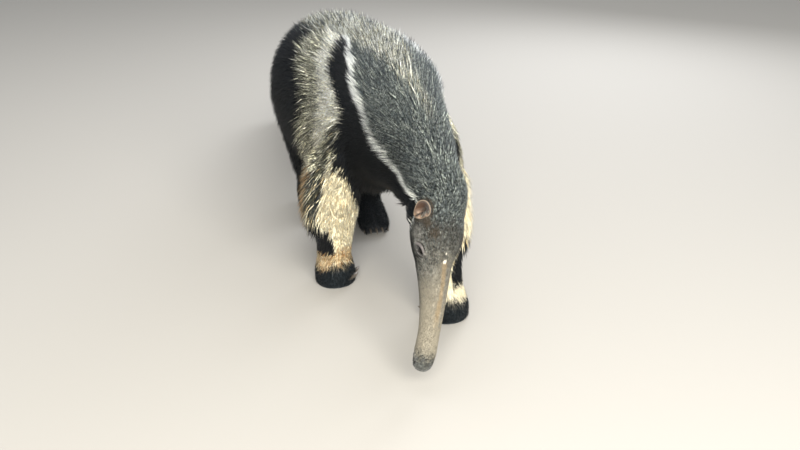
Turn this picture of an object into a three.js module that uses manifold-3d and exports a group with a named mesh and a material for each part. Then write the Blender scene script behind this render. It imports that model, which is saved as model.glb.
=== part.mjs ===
// A giant anteater standing with its head lowered to feed, in millimetres, +Z up, snout towards -Y.
import * as THREE from 'three';
import { mergeVertices } from 'three/addons/utils/BufferGeometryUtils.js';
import Module from 'manifold-3d';

const wasm = await Module();
wasm.setup();
const { Manifold, Mesh } = wasm;

// Gap between neighbouring nodes and the height of the flats under the feet
const GAP = 0.3;
const FLOOR = 0;

// Head: snout tip, centre at the ears, lengths measured from the tip along the head's axis
const HEAD_TIP = [-27, -398, 50];
const HEAD_AT_EARS = [38, -252, 297];
const HEAD_LENGTH = 345;
const HEAD_ROLL = 43;
const SNOUT_DROOP = 19;
const SNOUT_DROOP_LENGTH = 140;
const EYE_FROM_TIP = 233;
const EYE_RADIUS = 8.5;
const EAR_FROM_TIP = 304;
const EAR_WIDE = 19;
const EAR_TALL = 21;
const EAR_DEEP = 12;
const MOUTH_LENGTH = 26;

// Half widths and half depths of the head, each row at a distance from the tip
const HEAD_SECTIONS = [
  { from: 0, wide: 10, up: 9, down: 8 },
  { from: 7, wide: 17, up: 16, down: 15 },
  { from: 20, wide: 20, up: 20, down: 19 },
  { from: 38, wide: 21, up: 21, down: 21 },
  { from: 70, wide: 20, up: 21, down: 21 },
  { from: 117, wide: 22, up: 24, down: 25 },
  { from: 165, wide: 28, up: 30, down: 32 },
  { from: 208, wide: 35, up: 36, down: 40 },
  { from: 235, wide: 45, up: 44, down: 47 },
  { from: 258, wide: 50, up: 48, down: 53 },
  { from: 304, wide: 48, up: 49, down: 65 },
  { from: 345, wide: 51, up: 54, down: 86 },
];

// Neck, trunk and tail, each row with its centre, half width, height over and depth under the centre
const NECK_ROWS = [
  { at: [35, -200, 374], wide: 57, up: 61, down: 98 },
  { at: [24, -146, 402], wide: 71, up: 90, down: 102 },
  { at: [6, -92, 423], wide: 95, up: 122, down: 124 },
];
const TRUNK_ROWS = [
  { at: [-3, -48, 432], wide: 121, up: 148, down: 146 },
  { at: [-16, 40, 427], wide: 142, up: 171, down: 164 },
  { at: [-34, 150, 420], wide: 156, up: 174, down: 168 },
  { at: [-46, 280, 416], wide: 159, up: 173, down: 166 },
  { at: [-44, 400, 411], wide: 153, up: 161, down: 152 },
  { at: [-39, 490, 408], wide: 134, up: 137, down: 132 },
  { at: [-34, 550, 407], wide: 101, up: 101, down: 110 },
];
const TAIL_BASE_ROWS = [
  { at: [-30, 600, 402], wide: 68, up: 68, down: 96 },
  { at: [-28, 665, 382], wide: 57, up: 58, down: 108 },
  { at: [-25, 770, 332], wide: 53, up: 52, down: 128 },
  { at: [-22, 880, 277], wide: 50, up: 50, down: 126 },
];
const TAIL_END_ROWS = [
  { at: [-20, 1000, 228], wide: 47, up: 48, down: 112 },
  { at: [-18, 1120, 186], wide: 42, up: 44, down: 94 },
  { at: [-16, 1230, 152], wide: 33, up: 36, down: 68 },
  { at: [-15, 1330, 126], wide: 18, up: 22, down: 34 },
];
const SPINE_AROUND = 20;
const SPINE_STEPS = 2;
const SPINE_SQUARE = 2.2;

// Rows of locks: angles round the body in degrees, span of ring numbers, locks in the row, length at both ends of the
// row, width and thickness in mm, lift of the root and bend towards the body in degrees, and the run back and down
const LOCK_STEPS = 3;
const LOCK_SINK = 9;
const LOCK_FLOOR = 14;
const LOCK_TIP_GROWTH = 20;
const NECK_LOCKS = [
  { angles: [90], span: [2.8, 5.2], count: 3, length: [84, 96], wide: 56, thick: 10, lift: 7, bend: 26, run: [1, 0] },
  { angles: [-62, 242], span: [2.8, 5.4], count: 2, length: [60, 66], wide: 48, thick: 9, lift: 14, bend: -4, run: [0.8, 0.6] },
];
const TORSO_LOCKS = [
  { angles: [90], span: [0.3, 3.4], count: 3, length: [96, 116], wide: 72, thick: 12, lift: 7, bend: 30, run: [1, 0] },
  { angles: [90], span: [4.4, 13.2], count: 7, length: [120, 140], wide: 76, thick: 12, lift: 9, bend: 11, run: [1, 0] },
  { angles: [28, 152], span: [9.8, 12.8], count: 2, length: [120, 120], wide: 66, thick: 10, lift: 8, bend: 28, run: [1, 0.7] },
  { angles: [-24, 204], span: [1.2, 12.2], count: 5, length: [124, 134], wide: 100, thick: 11, lift: 8, bend: 24, run: [0.5, 1] },
  { angles: [-58, 238], span: [2.2, 12.2], count: 6, length: [78, 100], wide: 74, thick: 10, lift: 12, bend: -18, run: [0.5, 1] },
];
const TAIL_BASE_LOCKS = [
  { angles: [90], span: [1.4, 7.6], count: 4, length: [120, 140], wide: 64, thick: 12, lift: 10, bend: 8, run: [1, 0] },
  { angles: [6, 174], span: [1, 7.4], count: 3, length: [160, 190], wide: 104, thick: 11, lift: 9, bend: 18, run: [0.8, 1] },
  { angles: [-54, 234], span: [2.2, 7.9], count: 5, length: [236, 250], wide: 104, thick: 12, lift: 4, bend: 2, run: [0.4, 1] },
];
const TAIL_END_LOCKS = [
  { angles: [90], span: [0.6, 7.4], count: 3, length: [150, 150], wide: 60, thick: 12, lift: 10, bend: 8, run: [1, 0] },
  { angles: [6, 174], span: [0.2, 6.4], count: 3, length: [190, 170], wide: 96, thick: 11, lift: 8, bend: 16, run: [1, 0.7] },
  { angles: [-54, 234], span: [0.1, 6.8], count: 6, length: [205, 165], wide: 84, thick: 12, lift: 5, bend: 2, run: [0.65, 1] },
  { angles: [50, 170], span: [6.8, 7.4], count: 1, length: [224, 224], wide: 62, thick: 11, lift: 3, bend: 0, run: [1, 0] },
];
const FORELEG_LOCKS = [
  { angles: [-26], span: [3.0, 7.6], count: 4, length: [84, 66], wide: 44, thick: 8, lift: 20, bend: 8, run: [1, 0] },
  { angles: [-100], span: [3.4, 8], count: 3, length: [74, 60], wide: 48, thick: 8, lift: 18, bend: 10, run: [1, 0] },
];
const HINDLEG_LOCKS = [
  { angles: [-50], span: [2.4, 6.8], count: 2, length: [100, 80], wide: 58, thick: 9, lift: 13, bend: 14, run: [1, 0] },
  { angles: [-104], span: [2, 6.8], count: 3, length: [90, 70], wide: 56, thick: 9, lift: 13, bend: 10, run: [1, 0] },
];

// Legs from shoulder or hip down to the sole, up is the half depth to the front, down to the back
const FORE_ROWS = [
  { at: [-6, -20, 470], wide: 34, up: 60, down: 60 },
  { at: [2, -10, 380], wide: 54, up: 76, down: 80 },
  { at: [6, 4, 280], wide: 60, up: 68, down: 82 },
  { at: [4, 2, 195], wide: 60, up: 56, down: 72 },
  { at: [2, 0, 125], wide: 46, up: 46, down: 54 },
  { at: [0, 0, 76], wide: 42, up: 42, down: 46 },
];
const FOREPAW_ROWS = [
  { at: [0, 0, 76], wide: 42, up: 42, down: 46 },
  { at: [-1, -1, 52], wide: 46, up: 45, down: 47 },
  { at: [-1, -2, 26], wide: 51, up: 50, down: 46 },
  { at: [-1, -2, -10], wide: 49, up: 48, down: 42 },
];
const HIND_ROWS = [
  { at: [0, 30, 440], wide: 48, up: 84, down: 80 },
  { at: [10, 16, 350], wide: 62, up: 102, down: 94 },
  { at: [14, 0, 260], wide: 60, up: 82, down: 84 },
  { at: [8, 10, 175], wide: 46, up: 54, down: 62 },
  { at: [2, 24, 112], wide: 36, up: 42, down: 46 },
  { at: [0, 30, 82], wide: 34, up: 42, down: 42 },
];
const HINDFOOT_ROWS = [
  { at: [0, 85, 34], wide: 26, up: 26, down: 40 },
  { at: [0, 68, 40], wide: 34, up: 42, down: 48 },
  { at: [0, 30, 42], wide: 37, up: 48, down: 50 },
  { at: [-1, -20, 32], wide: 41, up: 32, down: 40 },
  { at: [-2, -62, 24], wide: 41, up: 20, down: 32 },
  { at: [-2, -78, 20], wide: 34, up: 10, down: 26 },
];
const LEGS = [
  { name: 'right', mirror: -1, fore: [-115, 88], foreHip: [-92, -20], hind: [-98, 520], hindHip: [-104, 470] },
  { name: 'left', mirror: 1, fore: [100, -132], foreHip: [78, -40], hind: [42, 378], hindHip: [42, 440] },
];

const FORE_CLAWS = [
  { offset: [36, -4, 17], length: 36, root: 8 },
  { offset: [22, -32, 17], length: 42, root: 10 },
];
const HIND_CLAW_COUNT = 5;
const HIND_CLAW_LENGTH = 26;
const HIND_CLAW_RADIUS = 6;

function vec(list) {
  return new THREE.Vector3(...list);
}

// Turns a three.js geometry into one closed manifold, outward facing
function solid(geometry) {
  geometry.deleteAttribute('normal');
  geometry.deleteAttribute('uv');
  const merged = mergeVertices(geometry, 1e-4);
  const vertices = new Float32Array(merged.attributes.position.array);
  const faces = new Uint32Array(merged.index.array);
  let volume = 0;
  const a = new THREE.Vector3();
  const b = new THREE.Vector3();
  const c = new THREE.Vector3();
  for (let i = 0; i < faces.length; i += 3) {
    a.fromArray(vertices, 3 * faces[i]);
    b.fromArray(vertices, 3 * faces[i + 1]);
    c.fromArray(vertices, 3 * faces[i + 2]);
    volume += a.dot(b.cross(c));
  }
  if (volume < 0) {
    for (let i = 0; i < faces.length; i += 3) {
      [faces[i], faces[i + 1]] = [faces[i + 1], faces[i]];
    }
  }
  return new Manifold(new Mesh({ numProp: 3, vertProperties: vertices, triVerts: faces }));
}

// Maps every vertex of a geometry by a function that changes the vector it is given
function mapped(geometry, change) {
  const position = geometry.attributes.position;
  const v = new THREE.Vector3();
  for (let i = 0; i < position.count; i += 1) {
    v.fromBufferAttribute(position, i);
    change(v);
    position.setXYZ(i, v.x, v.y, v.z);
  }
  return geometry;
}

// Squared-off ellipse with its own height over and depth under the centre line
function section(angle, size, square) {
  const c = Math.cos(angle);
  const s = Math.sin(angle);
  const x = Math.sign(c) * Math.abs(c) ** (2 / square);
  const y = Math.sign(s) * Math.abs(s) ** (2 / square);
  return [x * size.x, y * (y > 0 ? size.y : size.z)];
}

// Ring frames along rows of sections, each row with its own direction of up
function framesOf(rows, steps) {
  const centre = new THREE.CatmullRomCurve3(rows.map((row) => vec(row.at)), false, 'centripetal');
  const sizes = new THREE.CatmullRomCurve3(rows.map((row) => vec([row.wide, row.up, row.down])), false, 'centripetal');
  const total = steps * (rows.length - 1);
  const frames = [];
  for (let i = 0; i <= total; i += 1) {
    const t = i / total;
    const along = centre.getTangent(t);
    const low = rows[Math.floor(i / steps)];
    const high = rows[Math.min(rows.length - 1, Math.floor(i / steps) + 1)];
    const up = vec(low.over).lerp(vec(high.over), (i % steps) / steps);
    const side = new THREE.Vector3().crossVectors(along, up).normalize();
    const over = new THREE.Vector3().crossVectors(side, along).normalize();
    frames.push({ point: centre.getPoint(t), along, side, over, size: sizes.getPoint(t) });
  }
  return frames;
}

// Skins a closed body over ring frames, grown outwards all round
function skin(frames, around, square, grow = 0) {
  const steps = frames.length - 1;
  const tube = new THREE.CylinderGeometry(1, 1, 1, around, steps, false);
  return solid(mapped(tube, (v) => {
    const index = Math.round((v.y + 0.5) * steps);
    const frame = frames[index];
    const distance = Math.min(1, Math.hypot(v.x, v.z));
    const [x, y] = section(Math.atan2(v.z, v.x), frame.size.clone().addScalar(grow), square);
    v.copy(frame.point);
    v.addScaledVector(frame.side, x * distance);
    v.addScaledVector(frame.over, y * distance);
    if (index === 0) v.addScaledVector(frame.along, -grow);
    if (index === steps) v.addScaledVector(frame.along, grow);
  }));
}

function loft(rows, shape, grow = 0) {
  const directed = rows.map((row) => ({ over: shape.over, ...row }));
  return skin(framesOf(directed, shape.steps), shape.around, shape.square, grow);
}

// Even random numbers from a seed, so that each build gives the same coat
function randomFrom(seed) {
  let state = seed;
  return () => {
    state = (Math.imul(state, 1664525) + 1013904223) >>> 0;
    return state / 4294967296;
  };
}

// Point and outward direction of the skin of ring frames, at a broken ring number and an angle round the body
function skinPoint(frames, ring, angle, square) {
  const low = Math.min(frames.length - 2, Math.max(0, Math.floor(ring)));
  const share = ring - low;
  const a = frames[low];
  const b = frames[low + 1];
  const size = a.size.clone().lerp(b.size, share);
  const side = a.side.clone().lerp(b.side, share).normalize();
  const over = a.over.clone().lerp(b.over, share).normalize();
  const [x, y] = section(angle, size, square);
  const height = y > 0 ? size.y : size.z;
  const point = a.point.clone().lerp(b.point, share).addScaledVector(side, x).addScaledVector(over, y);
  const out = side.clone().multiplyScalar(x / size.x ** 2).addScaledVector(over, y / height ** 2).normalize();
  return { point, out };
}

// Place on the skin with the direction in which the skin runs on backwards
function onSkin(frames, ring, angle, square) {
  const { point, out } = skinPoint(frames, ring, angle, square);
  const before = skinPoint(frames, ring - 0.5, angle, square).point;
  const along = skinPoint(frames, ring + 0.5, angle, square).point.sub(before).normalize();
  out.addScaledVector(along, -out.dot(along)).normalize();
  return { point, out, along };
}

// One flat tapered lock, lifted at its root and bending back towards the body, kept clear of the floor
function lock(root, out, lie, size, grow) {
  const side = new THREE.Vector3().crossVectors(lie, out).normalize();
  const places = [];
  const point = root.clone().addScaledVector(out, -LOCK_SINK);
  for (let i = 0; i <= LOCK_STEPS; i += 1) {
    const t = i / LOCK_STEPS;
    const tilt = THREE.MathUtils.degToRad(size.lift * 1.6 - (size.lift * 1.6 + size.bend) * t);
    const along = lie.clone().multiplyScalar(Math.cos(tilt)).addScaledVector(out, Math.sin(tilt));
    const over = new THREE.Vector3().crossVectors(side, along).normalize();
    places.push({ point: point.clone(), over });
    point.addScaledVector(along, size.length / LOCK_STEPS);
    point.z = Math.max(point.z, LOCK_FLOOR);
  }
  const tip = places[LOCK_STEPS].point;
  tip.add(tip.clone().sub(places[LOCK_STEPS - 1].point).setLength(LOCK_TIP_GROWTH * grow));
  const cone = new THREE.ConeGeometry(1, 1, 4, LOCK_STEPS);
  return solid(mapped(cone, (v) => {
    const i = Math.round((v.y + 0.5) * LOCK_STEPS);
    const t = i / LOCK_STEPS;
    const spread = i < LOCK_STEPS ? 1 / (1 - t) : 0;
    const wide = (size.wide / 2) * (0.8 + 0.6 * t - 1.1 * t * t) + grow;
    const thick = (size.thick / 2) * (1 - 0.6 * t) + grow;
    const { x, z } = v;
    v.copy(places[i].point);
    v.addScaledVector(side, x * spread * wide);
    v.addScaledVector(places[i].over, z * spread * thick);
  }));
}

// Locks of a coat along ring frames, staggered from row to row and varied by a seed
function locks(frames, square, rows, seed, grow) {
  const random = randomFrom(seed);
  const vary = (amount) => amount * (2 * random() - 1);
  const found = [];
  rows.forEach((row, number) => {
    row.angles.forEach((degrees) => {
      for (let i = 0; i < row.count; i += 1) {
        const share = row.count > 1 ? (i + 0.45 * (number % 2) + vary(0.12)) / (row.count - 0.5) : 0.5;
        const ring = row.span[0] + share * (row.span[1] - row.span[0]);
        const angle = THREE.MathUtils.degToRad(degrees + vary(4));
        const { point, out, along } = onSkin(frames, ring, angle, square);
        const lie = along.clone().multiplyScalar(row.run[0]);
        lie.z -= row.run[1];
        lie.addScaledVector(out, -lie.dot(out)).normalize();
        lie.applyAxisAngle(out, vary(0.1));
        const size = {
          length: (row.length[0] + share * (row.length[1] - row.length[0])) * (1 + vary(0.08)),
          wide: row.wide * (1 + vary(0.08)),
          thick: row.thick,
          lift: row.lift,
          bend: row.bend,
        };
        found.push(lock(point, out, lie, size, grow));
      }
    });
  });
  return found;
}

// Ellipsoid at a place, its three half sizes along the given axes
function blob(centre, axes, sizes, detail, grow = 0) {
  const ball = new THREE.SphereGeometry(1, detail, Math.round(detail / 2));
  return solid(mapped(ball, (v) => {
    const { x, y, z } = v;
    v.copy(centre);
    v.addScaledVector(axes[0], x * (sizes[0] + grow));
    v.addScaledVector(axes[1], y * (sizes[1] + grow));
    v.addScaledVector(axes[2], z * (sizes[2] + grow));
  }));
}

// Keeps the largest closed surface of a body
function largest(body) {
  const pieces = body.decompose();
  return pieces.reduce((best, piece) => (piece.volume() > best.volume() ? piece : best));
}

// The head's own axes: forward to the tip, dorsal over the bridge, right side
const headForward = vec(HEAD_TIP).sub(vec(HEAD_AT_EARS)).normalize();
const headDorsal = new THREE.Vector3(-0.266, -0.838, 0.477);
headDorsal.addScaledVector(headForward, -headDorsal.dot(headForward)).normalize();
headDorsal.applyAxisAngle(headForward, THREE.MathUtils.degToRad(-HEAD_ROLL));
const headRight = new THREE.Vector3().crossVectors(headForward, headDorsal);

// Centre line of the head at a distance from the tip, the tip drooping
function headCentre(from) {
  const droop = SNOUT_DROOP * Math.max(0, 1 - from / SNOUT_DROOP_LENGTH) ** 2;
  return vec(HEAD_TIP).addScaledVector(headForward, -from).addScaledVector(headDorsal, -droop);
}

function headSection(from) {
  const next = HEAD_SECTIONS.findIndex((row) => row.from > from);
  const high = HEAD_SECTIONS[next];
  const low = HEAD_SECTIONS[next - 1];
  const share = (from - low.from) / (high.from - low.from);
  return {
    wide: low.wide + share * (high.wide - low.wide),
    up: low.up + share * (high.up - low.up),
    down: low.down + share * (high.down - low.down),
  };
}

// Point on or off the head's surface: distance from the tip, angle from the bridge to a side, reach in skins
function onHead(from, angle, side, reach) {
  const size = headSection(from);
  const rise = Math.cos(angle);
  const height = rise > 0 ? size.up : size.down;
  const point = headCentre(from);
  point.addScaledVector(headRight, side * Math.sin(angle) * size.wide * reach);
  return point.addScaledVector(headDorsal, rise * height * reach);
}

// The whole spine from snout to tail tip, and the row at which each of its nodes ends
const OVER = [0, 0, 1];
const spineParts = [
  HEAD_SECTIONS.map((row) => ({ ...row, at: headCentre(row.from).toArray(), over: headDorsal.toArray() })),
  NECK_ROWS.map((row, i) => ({ ...row, over: headDorsal.clone().lerp(vec(OVER), (i + 1) / 3).toArray() })),
  TRUNK_ROWS.map((row) => ({ ...row, over: OVER })),
  TAIL_BASE_ROWS.map((row) => ({ ...row, over: OVER })),
  TAIL_END_ROWS.map((row) => ({ ...row, over: OVER })),
];
const spineFrames = framesOf(spineParts.flat(), SPINE_STEPS);

function spineStretch(part) {
  const start = spineParts.slice(0, part).reduce((sum, rows) => sum + rows.length, 0);
  const first = Math.max(0, start - 1) * SPINE_STEPS;
  const last = (start + spineParts[part].length - 1) * SPINE_STEPS;
  return spineFrames.slice(first, last + 1);
}

function spineNode(part, grow) {
  return skin(spineStretch(part), SPINE_AROUND, SPINE_SQUARE, grow);
}

const legShape = { around: 12, steps: 2, square: 2.2, over: [0, -1, 0] };
const footShape = { around: 12, steps: 1, square: 2.4, over: OVER };

const EYE_ANGLE = THREE.MathUtils.degToRad(88);
const EAR_ANGLE = THREE.MathUtils.degToRad(84);

function eyeball(side, grow) {
  const centre = onHead(EYE_FROM_TIP, EYE_ANGLE, side, 0.84);
  const axes = [headForward, headDorsal, headRight];
  return blob(centre, axes, [EYE_RADIUS, EYE_RADIUS, EYE_RADIUS], 12, grow);
}

// Heavy lid folds, a flattened ring round the eye
function lids(side) {
  const centre = onHead(EYE_FROM_TIP, EYE_ANGLE, side, 1.0);
  const out = new THREE.Vector3().addScaledVector(headRight, side).addScaledVector(headDorsal, 0.1).normalize();
  const across = new THREE.Vector3().crossVectors(headForward, out).normalize();
  const ring = new THREE.TorusGeometry(9.5, 3.4, 6, 14);
  return solid(mapped(ring, (v) => {
    const { x, y, z } = v;
    v.copy(centre);
    v.addScaledVector(headForward, x * 1.25);
    v.addScaledVector(across, y * 0.85);
    v.addScaledVector(out, z - 1.5);
  }));
}

// Hollow swept through places on the head, thin across and running into the skin
function groove(places, wide, deep) {
  const rows = places.map((place) => ({ at: place.toArray(), wide, up: deep, down: deep }));
  const middle = places[Math.floor(places.length / 2)];
  const over = middle.clone().sub(headCentre(30)).normalize().toArray();
  return loft(rows, { around: 6, steps: 1, square: 2, over });
}

// Nostril, a short bent hollow at each side of the tip
function nostril(side) {
  const places = [0, 1, 2, 3].map((i) => onHead(8 + 3 * i, THREE.MathUtils.degToRad(62 + 14 * i), side, 1.0));
  return groove(places, 2.6, 4.4);
}

// Mouth slit round the underside of the tip, running back a little at both sides
function mouth() {
  const places = [];
  for (let i = -4; i <= 4; i += 1) {
    const back = Math.max(0, Math.abs(i) - 1) / 3;
    places.push(onHead(4 + MOUTH_LENGTH * back, THREE.MathUtils.degToRad(180 - 15 * Math.min(4, Math.abs(i) + 0.4)), Math.sign(i) || 1, 1.0));
  }
  return groove(places, 1.5, 4.2);
}

function headCore(grow) {
  return spineNode(0, grow);
}

function earShape(side, grow) {
  const root = onHead(EAR_FROM_TIP, EAR_ANGLE, side, 1.06);
  const out = new THREE.Vector3().addScaledVector(headRight, side).addScaledVector(headForward, 0.55).normalize();
  const tall = new THREE.Vector3().addScaledVector(headForward, -1).addScaledVector(headDorsal, 0.25);
  tall.addScaledVector(out, -tall.dot(out)).normalize();
  const wide = new THREE.Vector3().crossVectors(out, tall);
  const shell = blob(root, [wide, tall, out], [EAR_WIDE, EAR_TALL, EAR_DEEP], 14, grow);
  const hollow = root.clone().addScaledVector(out, 7).addScaledVector(tall, -1);
  return shell.subtract(blob(hollow, [wide, tall, out], [EAR_WIDE - 3.5, EAR_TALL - 4, EAR_DEEP - 2], 12));
}

function buildHead(grow) {
  let body = headCore(grow);
  if (grow > 0) return body;
  for (const side of [-1, 1]) {
    body = body.add(lids(side)).subtract(eyeball(side, GAP)).subtract(nostril(side));
  }
  return body.subtract(mouth());
}

// A stretch of the spine with its locks
function hairy(part, rows, grow) {
  const coat = locks(spineStretch(part), SPINE_SQUARE, rows, 11 * part, grow);
  return Manifold.union([spineNode(part, grow), ...coat]);
}

// Moves rows of a leg to its foot, the upper rows sliding towards shoulder or hip, and mirrors them
function placed(rows, mirror, foot, hip, top) {
  return rows.map((row) => {
    const share = Math.min(1, Math.max(0, (row.at[2] - 70) / (top - 70))) ** 0.9;
    const x = foot[0] + share * (hip[0] - foot[0]) + mirror * row.at[0];
    const y = foot[1] + share * (hip[1] - foot[1]) + row.at[1];
    return { ...row, at: [x, y, row.at[2]] };
  });
}

// A leg with its fringe; the rows' angles are those of the right leg and are mirrored for the left one
function fringed(rows, leg, lockRows, seed, grow) {
  const directed = rows.map((row) => ({ over: legShape.over, ...row }));
  const frames = framesOf(directed, legShape.steps);
  const turned = lockRows.map((row) => ({
    ...row,
    angles: row.angles.map((angle) => (leg.mirror < 0 ? angle : 180 - angle)),
  }));
  const fringe = locks(frames, legShape.square, turned, seed, grow);
  return Manifold.union([skin(frames, legShape.around, legShape.square, grow), ...fringe]);
}

function buildForeleg(leg, grow) {
  return fringed(placed(FORE_ROWS, leg.mirror, leg.fore, leg.foreHip, 470), leg, FORELEG_LOCKS, 71, grow);
}

function buildForepaw(leg, grow) {
  const body = loft(placed(FOREPAW_ROWS, leg.mirror, leg.fore, leg.foreHip, 470), legShape, grow);
  return body.trimByPlane([0, 0, 1], FLOOR);
}

function buildHindleg(leg, grow) {
  return fringed(placed(HIND_ROWS, leg.mirror, leg.hind, leg.hindHip, 440), leg, HINDLEG_LOCKS, 83, grow);
}

function buildHindfoot(leg, grow) {
  const body = loft(placed(HINDFOOT_ROWS, leg.mirror, leg.hind, leg.hindHip, 440), footShape, grow);
  return body.trimByPlane([0, 0, 1], FLOOR);
}

// A bent claw from its root, swinging from one heading to another
function claw(root, heading, turn, length, radius, grow) {
  const points = [];
  const point = root.clone().addScaledVector(heading, -grow);
  const swing = new THREE.Vector3().crossVectors(heading, turn).normalize();
  const step = heading.clone();
  const count = 4;
  for (let i = 0; i <= count; i += 1) {
    points.push(point.clone());
    point.addScaledVector(step, (length + grow) / count);
    step.applyAxisAngle(swing, THREE.MathUtils.degToRad(14));
  }
  const curve = new THREE.CatmullRomCurve3(points);
  const cone = new THREE.ConeGeometry(1, 1, 8, count);
  return solid(mapped(cone, (v) => {
    const t = v.y + 0.5;
    const along = curve.getTangent(t);
    const side = new THREE.Vector3().crossVectors(along, swing).normalize();
    const spread = t < 1 ? ((radius * (1 - 0.85 * t * t) + grow) / Math.max(0.001, 1 - t)) : 0;
    const { x, z } = v;
    v.copy(curve.getPoint(t));
    v.addScaledVector(swing, x * spread);
    v.addScaledVector(side, z * spread * 0.8);
  }));
}

function foreClaw(leg, index, grow) {
  const size = FORE_CLAWS[index];
  const root = vec([
    leg.fore[0] - leg.mirror * size.offset[0],
    leg.fore[1] + size.offset[1],
    size.offset[2],
  ]);
  const heading = vec([-leg.mirror * 0.85, 0.1, 0.12]).normalize();
  const turn = vec([0, 1, 0]);
  return claw(root, heading, turn, size.length, size.root, grow);
}

function hindClaw(leg, index, grow) {
  const share = index / (HIND_CLAW_COUNT - 1) - 0.5;
  const root = vec([leg.hind[0] - 2 + 62 * share, leg.hind[1] - 60 - 12 * (1 - 4 * share * share), 16]);
  const heading = vec([0.25 * share, -1, 0.1]).normalize();
  return claw(root, heading, vec([0, 0, -1]), HIND_CLAW_LENGTH, HIND_CLAW_RADIUS, grow);
}

// Every node with its colour, in the order in which a later node gives way to the earlier ones it names
const COAT_GREY = 0x6b6862;
const COAT_BLACK = 0x1d1c20;
const COAT_CREAM = 0xd8c9a3;
const HORN = 0xb9ab8e;
const EYE_DARK = 0x0d0b0a;
const EAR_TAN = 0xa98765;

const plan = [];
plan.push({ name: 'head', colour: COAT_GREY, build: (grow) => buildHead(grow), yields: [] });
for (const [word, side] of [['right', 1], ['left', -1]]) {
  plan.push({ name: `eye_${word}`, colour: EYE_DARK, build: (grow) => eyeball(side, grow), yields: [] });
  plan.push({ name: `ear_${word}`, colour: EAR_TAN, build: (grow) => earShape(side, grow), yields: ['head', 'neck'] });
}
plan.push({ name: 'neck', colour: COAT_GREY, build: (grow) => hairy(1, NECK_LOCKS, grow), yields: ['head'] });
plan.push({ name: 'torso', colour: COAT_BLACK, build: (grow) => hairy(2, TORSO_LOCKS, grow), yields: ['neck'] });
plan.push({ name: 'tail_base', colour: COAT_GREY, build: (grow) => hairy(3, TAIL_BASE_LOCKS, grow), yields: ['torso'] });
plan.push({ name: 'tail_end', colour: COAT_GREY, build: (grow) => hairy(4, TAIL_END_LOCKS, grow), yields: ['tail_base'] });
for (const leg of LEGS) {
  const { name } = leg;
  plan.push({
    name: `foreleg_${name}`, colour: COAT_CREAM, build: (grow) => buildForeleg(leg, grow), yields: ['torso', 'neck'],
  });
  for (let i = 0; i < FORE_CLAWS.length; i += 1) {
    plan.push({ name: `fore_claw_${name}_${i + 1}`, colour: HORN, build: (grow) => foreClaw(leg, i, grow), yields: [] });
  }
  plan.push({
    name: `forepaw_${name}`,
    colour: COAT_BLACK,
    build: (grow) => buildForepaw(leg, grow),
    yields: [`foreleg_${name}`, ...FORE_CLAWS.map((_, i) => `fore_claw_${name}_${i + 1}`)],
  });
  plan.push({
    name: `hindleg_${name}`, colour: COAT_BLACK, build: (grow) => buildHindleg(leg, grow), yields: ['torso', 'tail_base'],
  });
  for (let i = 0; i < HIND_CLAW_COUNT; i += 1) {
    plan.push({ name: `hind_claw_${name}_${i + 1}`, colour: HORN, build: (grow) => hindClaw(leg, i, grow), yields: [] });
  }
  const clawNames = Array.from({ length: HIND_CLAW_COUNT }, (_, i) => `hind_claw_${name}_${i + 1}`);
  plan.push({
    name: `hindfoot_${name}`,
    colour: COAT_BLACK,
    build: (grow) => buildHindfoot(leg, grow),
    yields: [`hindleg_${name}`, 'tail_base', ...clawNames],
  });
}

const grown = new Map();
const bodies = plan.map(({ name, colour, build, yields }) => {
  let body = build(0);
  for (const other of yields) {
    if (!grown.has(other)) grown.set(other, plan.find((node) => node.name === other).build(GAP));
    body = body.subtract(grown.get(other));
  }
  return { name, colour, body: largest(body.simplify(0.05)) };
});

// Centres the whole over the origin with its soles on the floor
const reach = new THREE.Box3();
for (const { body } of bodies) {
  const { min, max } = body.boundingBox();
  reach.expandByPoint(vec([...min]));
  reach.expandByPoint(vec([...max]));
}
const shift = [-(reach.min.x + reach.max.x) / 2, -(reach.min.y + reach.max.y) / 2, -reach.min.z];

const group = new THREE.Group();
group.name = 'giant_anteater';
group.userData.shift = shift;
for (const { name, colour, body } of bodies) {
  const data = body.translate(shift).getMesh();
  const geometry = new THREE.BufferGeometry();
  geometry.setAttribute('position', new THREE.BufferAttribute(new Float32Array(data.vertProperties), 3));
  geometry.setIndex(new THREE.BufferAttribute(new Uint32Array(data.triVerts), 1));
  const mesh = new THREE.Mesh(geometry, new THREE.MeshStandardMaterial({ color: colour }));
  mesh.name = name;
  group.add(mesh);
}

export default group;
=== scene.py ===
"""Life-size still giant anteater: one skin, a coat of mesh tufts, eyes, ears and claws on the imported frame."""
import logging
import math
from dataclasses import dataclass, field
from enum import Enum
from typing import Callable, Iterator, Optional

import bpy
import numpy as np
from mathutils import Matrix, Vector


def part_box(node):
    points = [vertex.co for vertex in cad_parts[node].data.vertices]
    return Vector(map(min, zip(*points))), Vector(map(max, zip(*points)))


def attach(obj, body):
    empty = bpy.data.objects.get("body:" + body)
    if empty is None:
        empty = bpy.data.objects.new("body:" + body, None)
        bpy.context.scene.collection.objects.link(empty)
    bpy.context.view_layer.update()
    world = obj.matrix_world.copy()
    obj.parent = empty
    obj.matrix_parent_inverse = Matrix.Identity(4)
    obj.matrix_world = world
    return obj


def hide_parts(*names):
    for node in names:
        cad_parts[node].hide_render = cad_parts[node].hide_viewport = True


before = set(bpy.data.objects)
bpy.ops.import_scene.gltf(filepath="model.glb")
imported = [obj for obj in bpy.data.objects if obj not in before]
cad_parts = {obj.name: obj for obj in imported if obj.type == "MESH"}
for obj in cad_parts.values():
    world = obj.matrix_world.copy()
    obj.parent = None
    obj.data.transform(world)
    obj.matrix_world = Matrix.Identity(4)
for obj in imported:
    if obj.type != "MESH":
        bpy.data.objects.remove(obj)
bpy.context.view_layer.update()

LOG = logging.getLogger("anteater")
MM = 0.001


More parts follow.
